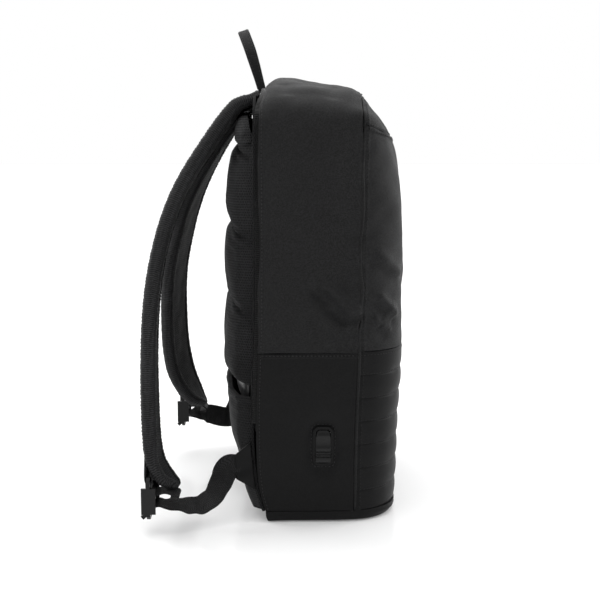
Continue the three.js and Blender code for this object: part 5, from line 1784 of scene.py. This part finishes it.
@dataclass
class Adjuster:
    """One side's adjuster: webbing, corner gusset, buckle and the tab that holds the buckle."""

    side: Side
    sewing: Sewing
    tucked: float = 0.007
    buckle_edge: float = 0.0008

    def build(self) -> None:
        """Builds the webbing, tab and gusset, and finishes the buckle."""
        name = self.side.value
        webbing = Band.along(f"adjuster_webbing_{name}", (0.0, 0.0, -1.0), 5)
        self.wave(webbing)
        dress(webbing.sweep(f"webbing_{name}", flat_section()), TAPE, f"adjuster_webbing_{name}")
        tab = Band.along(f"buckle_tab_{name}", (0.0, 1.0, 0.0), 6)
        dress(tab.sweep(f"tab_{name}", flat_section()), TAPE, f"buckle_tab_{name}")
        self.corner(name)
        finish_moulding(f"buckle_{name}", self.buckle_edge, PLASTIC)
        self.sew_box(tab, name)

    def wave(self, band: Band) -> None:
        """Lets the webbing wave a little, and carries its upper end on under the corner's cloth."""
        edge = np.minimum(band.lengths, band.lengths[-1] - band.lengths)
        wave = np.sin(band.lengths / 0.017 * 2.0 * math.pi) * smooth_step(edge / 0.02)
        band.centre = band.centre + 0.0006 * wave[:, None] * band.out
        band.run_on(self.tucked)

    def corner(self, name: str) -> None:
        """The doubled cloth over the webbing's end."""
        node = f"corner_gusset_{name}"
        piece = copy_of(node, f"corner_tab_{name}")
        round_rims(piece, 0.0007, 50.0)
        apply_modifier(piece, "TRIANGULATE")
        subdivide_simple(piece, 3)
        points = points_of(piece)
        points[:, 0] += 0.0009 * TAPE_WAVES(points * [0.0, 1.0, 1.0])
        move_points(piece, points)
        lay_map(piece, lambda places: places[:, [1, 2]])
        smooth_shading(piece, 35.0)
        dress(piece, COATED, node)

    def sew_box(self, tab: Band, name: str) -> None:
        """Sews the tab to the strap with two rows of stitches along its sides."""
        rows = []
        reach = slice(3, max(len(tab.centre) // 4, 8))
        for share in (-0.78, 0.78):
            line = tab.line(share * tab.half_width, tab.half_thick)[reach]
            rows.append((spaced(line, self.sewing.pitch), tab.out[reach]))
        rows = [(places, np.repeat(out[:1], len(places), axis=0)) for places, out in rows]
        dress(self.sewing.sew(f"tab_stitches_{name}", rows), THREAD, slot=Slot.WEBBING)


def subdivide_simple(piece: bpy.types.Object, levels: int) -> None:
    """Splits a piece's faces without rounding it."""
    apply_modifier(piece, "SUBSURF", levels=levels, render_levels=levels, subdivision_type="SIMPLE")


def finish_moulding(node: str, edge: float, finish: Finish) -> None:
    """Rounds a packed moulding's edges by modifiers and gives it its plastic.

    Args:
        node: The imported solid, which stays as it is.
        edge: Width of the rounded edges.
        finish: Its plastic.
    """
    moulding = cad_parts[node]
    weld = moulding.modifiers.new("joined", "WELD")
    weld.merge_threshold = 1e-5
    bevel = moulding.modifiers.new("rounded", "BEVEL")
    bevel.width = edge
    bevel.segments = 2
    bevel.limit_method = "ANGLE"
    bevel.angle_limit = math.radians(30.0)
    bevel.harden_normals = True
    moulding.data.materials.clear()
    moulding.data.materials.append(finish.make())
    log.info("%s: rounded by %.2f mm", node, edge * 1000.0)


@dataclass
class GrabHandle:
    """The folded strip between the straps, sewn along both edges."""

    sewing: Sewing

    def section(self, half: float, thick: float, _: float) -> np.ndarray:
        """Section of a strip folded in two, with its slit at one edge."""
        upper = [
            (-1.0, 0.14), (-0.97, 0.72), (-0.86, 0.97), (-0.4, 1.0),
            (0.4, 1.0), (0.86, 0.95), (1.0, 0.45),
        ]
        lower = [(x, -y) for x, y in reversed(upper)]
        slit = [(-0.96, -0.06), (-0.2, -0.03), (-0.2, 0.03), (-0.96, 0.06)]
        return np.array(upper + lower + slit) * [half, thick]

    def build(self) -> None:
        """Builds and sews the handle."""
        band = Band.along("grab_handle", (0.0, 1.0, -0.3), 8)
        strip = band.sweep("handle_strip", self.section)
        dress(strip, TAPE, "grab_handle")
        tree = surface_tree(strip)
        rows = []
        for share in (-0.62, 0.62):
            for face in (1.0, -1.0):
                line = band.line(share * band.half_width, face * (band.half_thick + 0.002))
                rows.append(self.sewing.laid(line[6:-6], tree))
        dress(self.sewing.sew("handle_stitches", rows), THREAD, slot=Slot.WEBBING)


@dataclass
class SidePort:
    """The slotted grommet low on the left side, with its plug and a stitched outline round it."""

    sewing: Sewing
    plug_place: float = -0.1492
    plug_bevels: tuple[tuple[float, int, float], ...] = ((0.0016, 4, 70.0), (0.00012, 2, 25.0))
    plug_size: tuple[float, float, float] = (0.0066, 0.0160, 0.0052)
    plug_steps: tuple[tuple[float, float, float], ...] = (
        # Height of each step up the plug, and how its depth and its width change there
        (0.0005, 0.70, 0.96), (0.0008, 1.0, 1.0), (0.0005, 1.43, 1.04), (0.0009, 1.0, 1.0),
        (0.0005, 0.70, 0.96), (0.0008, 1.0, 1.0), (0.0005, 1.43, 1.04), (0.0009, 1.0, 1.0),
        (0.0005, 0.70, 0.96), (0.0008, 1.0, 1.0), (0.0005, 1.43, 1.04), (0.0030, 1.0, 1.0),
        (0.0012, 0.86, 0.98), (0.0080, 1.0, 0.98), (0.0020, 1.16, 0.98), (0.0024, 0.97, 0.94),
        (0.0030, 0.70, 0.90), (0.0018, 0.60, 0.78),
    )
    centre: tuple[float, float] = (0.0111, 0.081)
    patch: tuple[float, float] = (0.0240, 0.0442)

    def plug(self) -> None:
        """The plug in the slot: a grip with three grooves, then a neck and a rounded, lit head."""
        bpy.ops.object.select_all(action="DESELECT")
        bpy.ops.mesh.primitive_cube_add(size=1.0)
        piece = bpy.context.object
        piece.name = "port_plug"
        bpy.ops.object.mode_set(mode="EDIT")
        bpy.ops.transform.resize(value=self.plug_size)
        bpy.ops.mesh.select_mode(type="FACE")
        for height, deeper, wider in self.plug_steps:
            bpy.ops.mesh.select_all(action="DESELECT")
            Sewing.select_end(piece, 1.0)
            bpy.ops.mesh.extrude_region_move(TRANSFORM_OT_translate={"value": (0.0, 0.0, height)})
            bpy.ops.transform.resize(value=(deeper, wider, 1.0))
        bpy.ops.object.mode_set(mode="OBJECT")
        points = points_of(piece)
        low, high = points[:, 2].min(), points[:, 2].max()
        place = np.array([self.plug_place, self.centre[0], self.centre[1] - (low + high) / 2.0])
        move_points(piece, points + place)
        for width, segments, angle in self.plug_bevels:
            limit = math.radians(angle)
            apply_modifier(
                piece, "BEVEL", width=width, segments=segments, limit_method="ANGLE", angle_limit=limit
            )
        smooth_shading(piece, 35.0)
        dress(piece, PLASTIC, "port_cover")

    def build(self) -> None:
        """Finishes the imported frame, builds the plug, and sews round them."""
        # The frame takes the darker plastic: painted shade of the recess.
        finish_moulding("port_frame", 0.0002, PAINTED_RECESS_SHADE)
        self.plug()
        turn = np.linspace(0.0, 2.0 * math.pi, 200)
        y = self.centre[0] + self.patch[0] / 2.0 * np.sign(np.cos(turn)) * np.abs(np.cos(turn)) ** 0.35
        z = self.centre[1] + self.patch[1] / 2.0 * np.sign(np.sin(turn)) * np.abs(np.sin(turn)) ** 0.35
        line = np.column_stack([np.full_like(y, -0.154), y, z])
        cloth = surface_tree(bpy.data.objects["lower_side_left"])
        rows = [self.sewing.laid(line, cloth, Vector((1.0, 0.0, 0.0)))]
        dress(self.sewing.sew("port_stitches", rows), THREAD, slot=Slot.COATED)


@dataclass(frozen=True)
class Studio:
    """Floor, lights and camera."""

    eye: tuple[float, float, float] = (-1.150, 0.050, 0.374)
    aim: tuple[float, float, float] = (-0.150, 0.0345, 0.23016)
    lens: float = 61.3
    dim: float = 0.45
    bright: float = 1.25

    def build(self) -> None:
        """Builds the studio."""
        self.floor()
        self.light("top light", (0.25, 0.15, 1.7), 9.0, 1.3)
        self.light("back light", (0.5, 1.5, 0.9), 10.0, 0.9)
        self.light("front light", (0.4, -1.6, 0.9), 10.0, 0.9)
        self.air()
        bpy.context.scene.view_settings.view_transform = "Standard"
        self.camera()

    def air(self) -> None:
        """White surroundings that light the bag most from above and from its far side."""
        world = bpy.data.worlds.new("studio air")
        world.use_nodes = True
        world.node_tree.nodes.clear()
        bench = Bench(world.node_tree)
        where = bench.node("ShaderNodeTexCoord").outputs["Generated"]
        towards = Vector((0.5, 0.0, 0.86))
        raised = bench.node("ShaderNodeVectorMath", {0: where, 1: towards}, operation="DOT_PRODUCT")
        strength = bench.band(raised.outputs["Value"], -0.5, 0.9, self.dim, self.bright)
        soft = bench.node("ShaderNodeBackground", {"Strength": strength})
        soft.inputs["Color"].default_value = (1.0, 1.0, 1.0, 1.0)
        plain = bench.node("ShaderNodeBackground", {"Strength": 1.0})
        plain.inputs["Color"].default_value = (1.0, 1.0, 1.0, 1.0)
        ray = bench.node("ShaderNodeLightPath").outputs["Is Camera Ray"]
        mixed = bench.node("ShaderNodeMixShader", {0: ray, 1: soft.outputs[0], 2: plain.outputs[0]})
        bench.node("ShaderNodeOutputWorld", {"Surface": mixed.outputs[0]})
        bpy.context.scene.world = world

    def floor(self) -> None:
        """The pale, slightly glossy floor."""
        bpy.ops.object.select_all(action="DESELECT")
        bpy.ops.mesh.primitive_plane_add(size=60.0, location=(0.0, 0.0, 0.0))
        floor = bpy.context.object
        floor.name = "floor"
        material = bpy.data.materials.new("floor")
        material.use_nodes = True
        bench = Bench(material.node_tree)
        skin = material.node_tree.nodes["Principled BSDF"]
        where = bench.node("ShaderNodeTexCoord")
        cloud = bench.noise(where.outputs["Object"], 1.5)
        pale = bench.mix(cloud, (0.86, 0.86, 0.86), (0.88, 0.88, 0.88))
        material.node_tree.links.new(pale, skin.inputs["Base Color"])
        skin.inputs["Roughness"].default_value = 0.12
        skin.inputs["Specular IOR Level"].default_value = 0.08
        skin.inputs["Emission Color"].default_value = (1.0, 1.0, 1.0, 1.0)
        skin.inputs["Emission Strength"].default_value = 0.12
        floor.data.materials.append(material)

    def light(self, name: str, place: tuple[float, float, float], power: float, size: float) -> None:
        """A soft light that faces the bag.

        Args:
            name: Name of the light.
            place: Where it stands.
            power: Its power in watts.
            size: Width of its face.
        """
        lamp = bpy.data.lights.new(name, "AREA")
        lamp.energy = power
        lamp.size = size
        stand = bpy.data.objects.new(name, lamp)
        stand.location = place
        stand.rotation_euler = (Vector((0.0, 0.0, 0.22)) - Vector(place)).to_track_quat("-Z", "Y").to_euler()
        bpy.context.scene.collection.objects.link(stand)

    def camera(self) -> None:
        """The camera, at the photograph's viewing angle."""
        data = bpy.data.cameras.new("camera")
        data.lens = self.lens
        data.sensor_width = 36.0
        data.clip_start = 0.01
        stand = bpy.data.objects.new("camera", data)
        stand.location = self.eye
        stand.rotation_euler = (Vector(self.aim) - Vector(self.eye)).to_track_quat("-Z", "Y").to_euler()
        bpy.context.scene.collection.objects.link(stand)
        bpy.context.scene.camera = stand


def main() -> None:
    """Builds the bag piece by piece, and the studio round it."""
    logging.basicConfig(level=logging.INFO, format="%(name)s: %(message)s")
    sewing = Sewing()
    Studio().build()
    MainBody(sewing).build()
    FrontPocket(sewing).build()
    BackPadding(sewing).build()
    MainZip().build()
    for side in Side:
        ShoulderStrap(side, sewing).build()
        Adjuster(side, sewing).build()
    GrabHandle(sewing).build()
    SidePort(sewing).build()


if __name__ == "__main__":
    main()
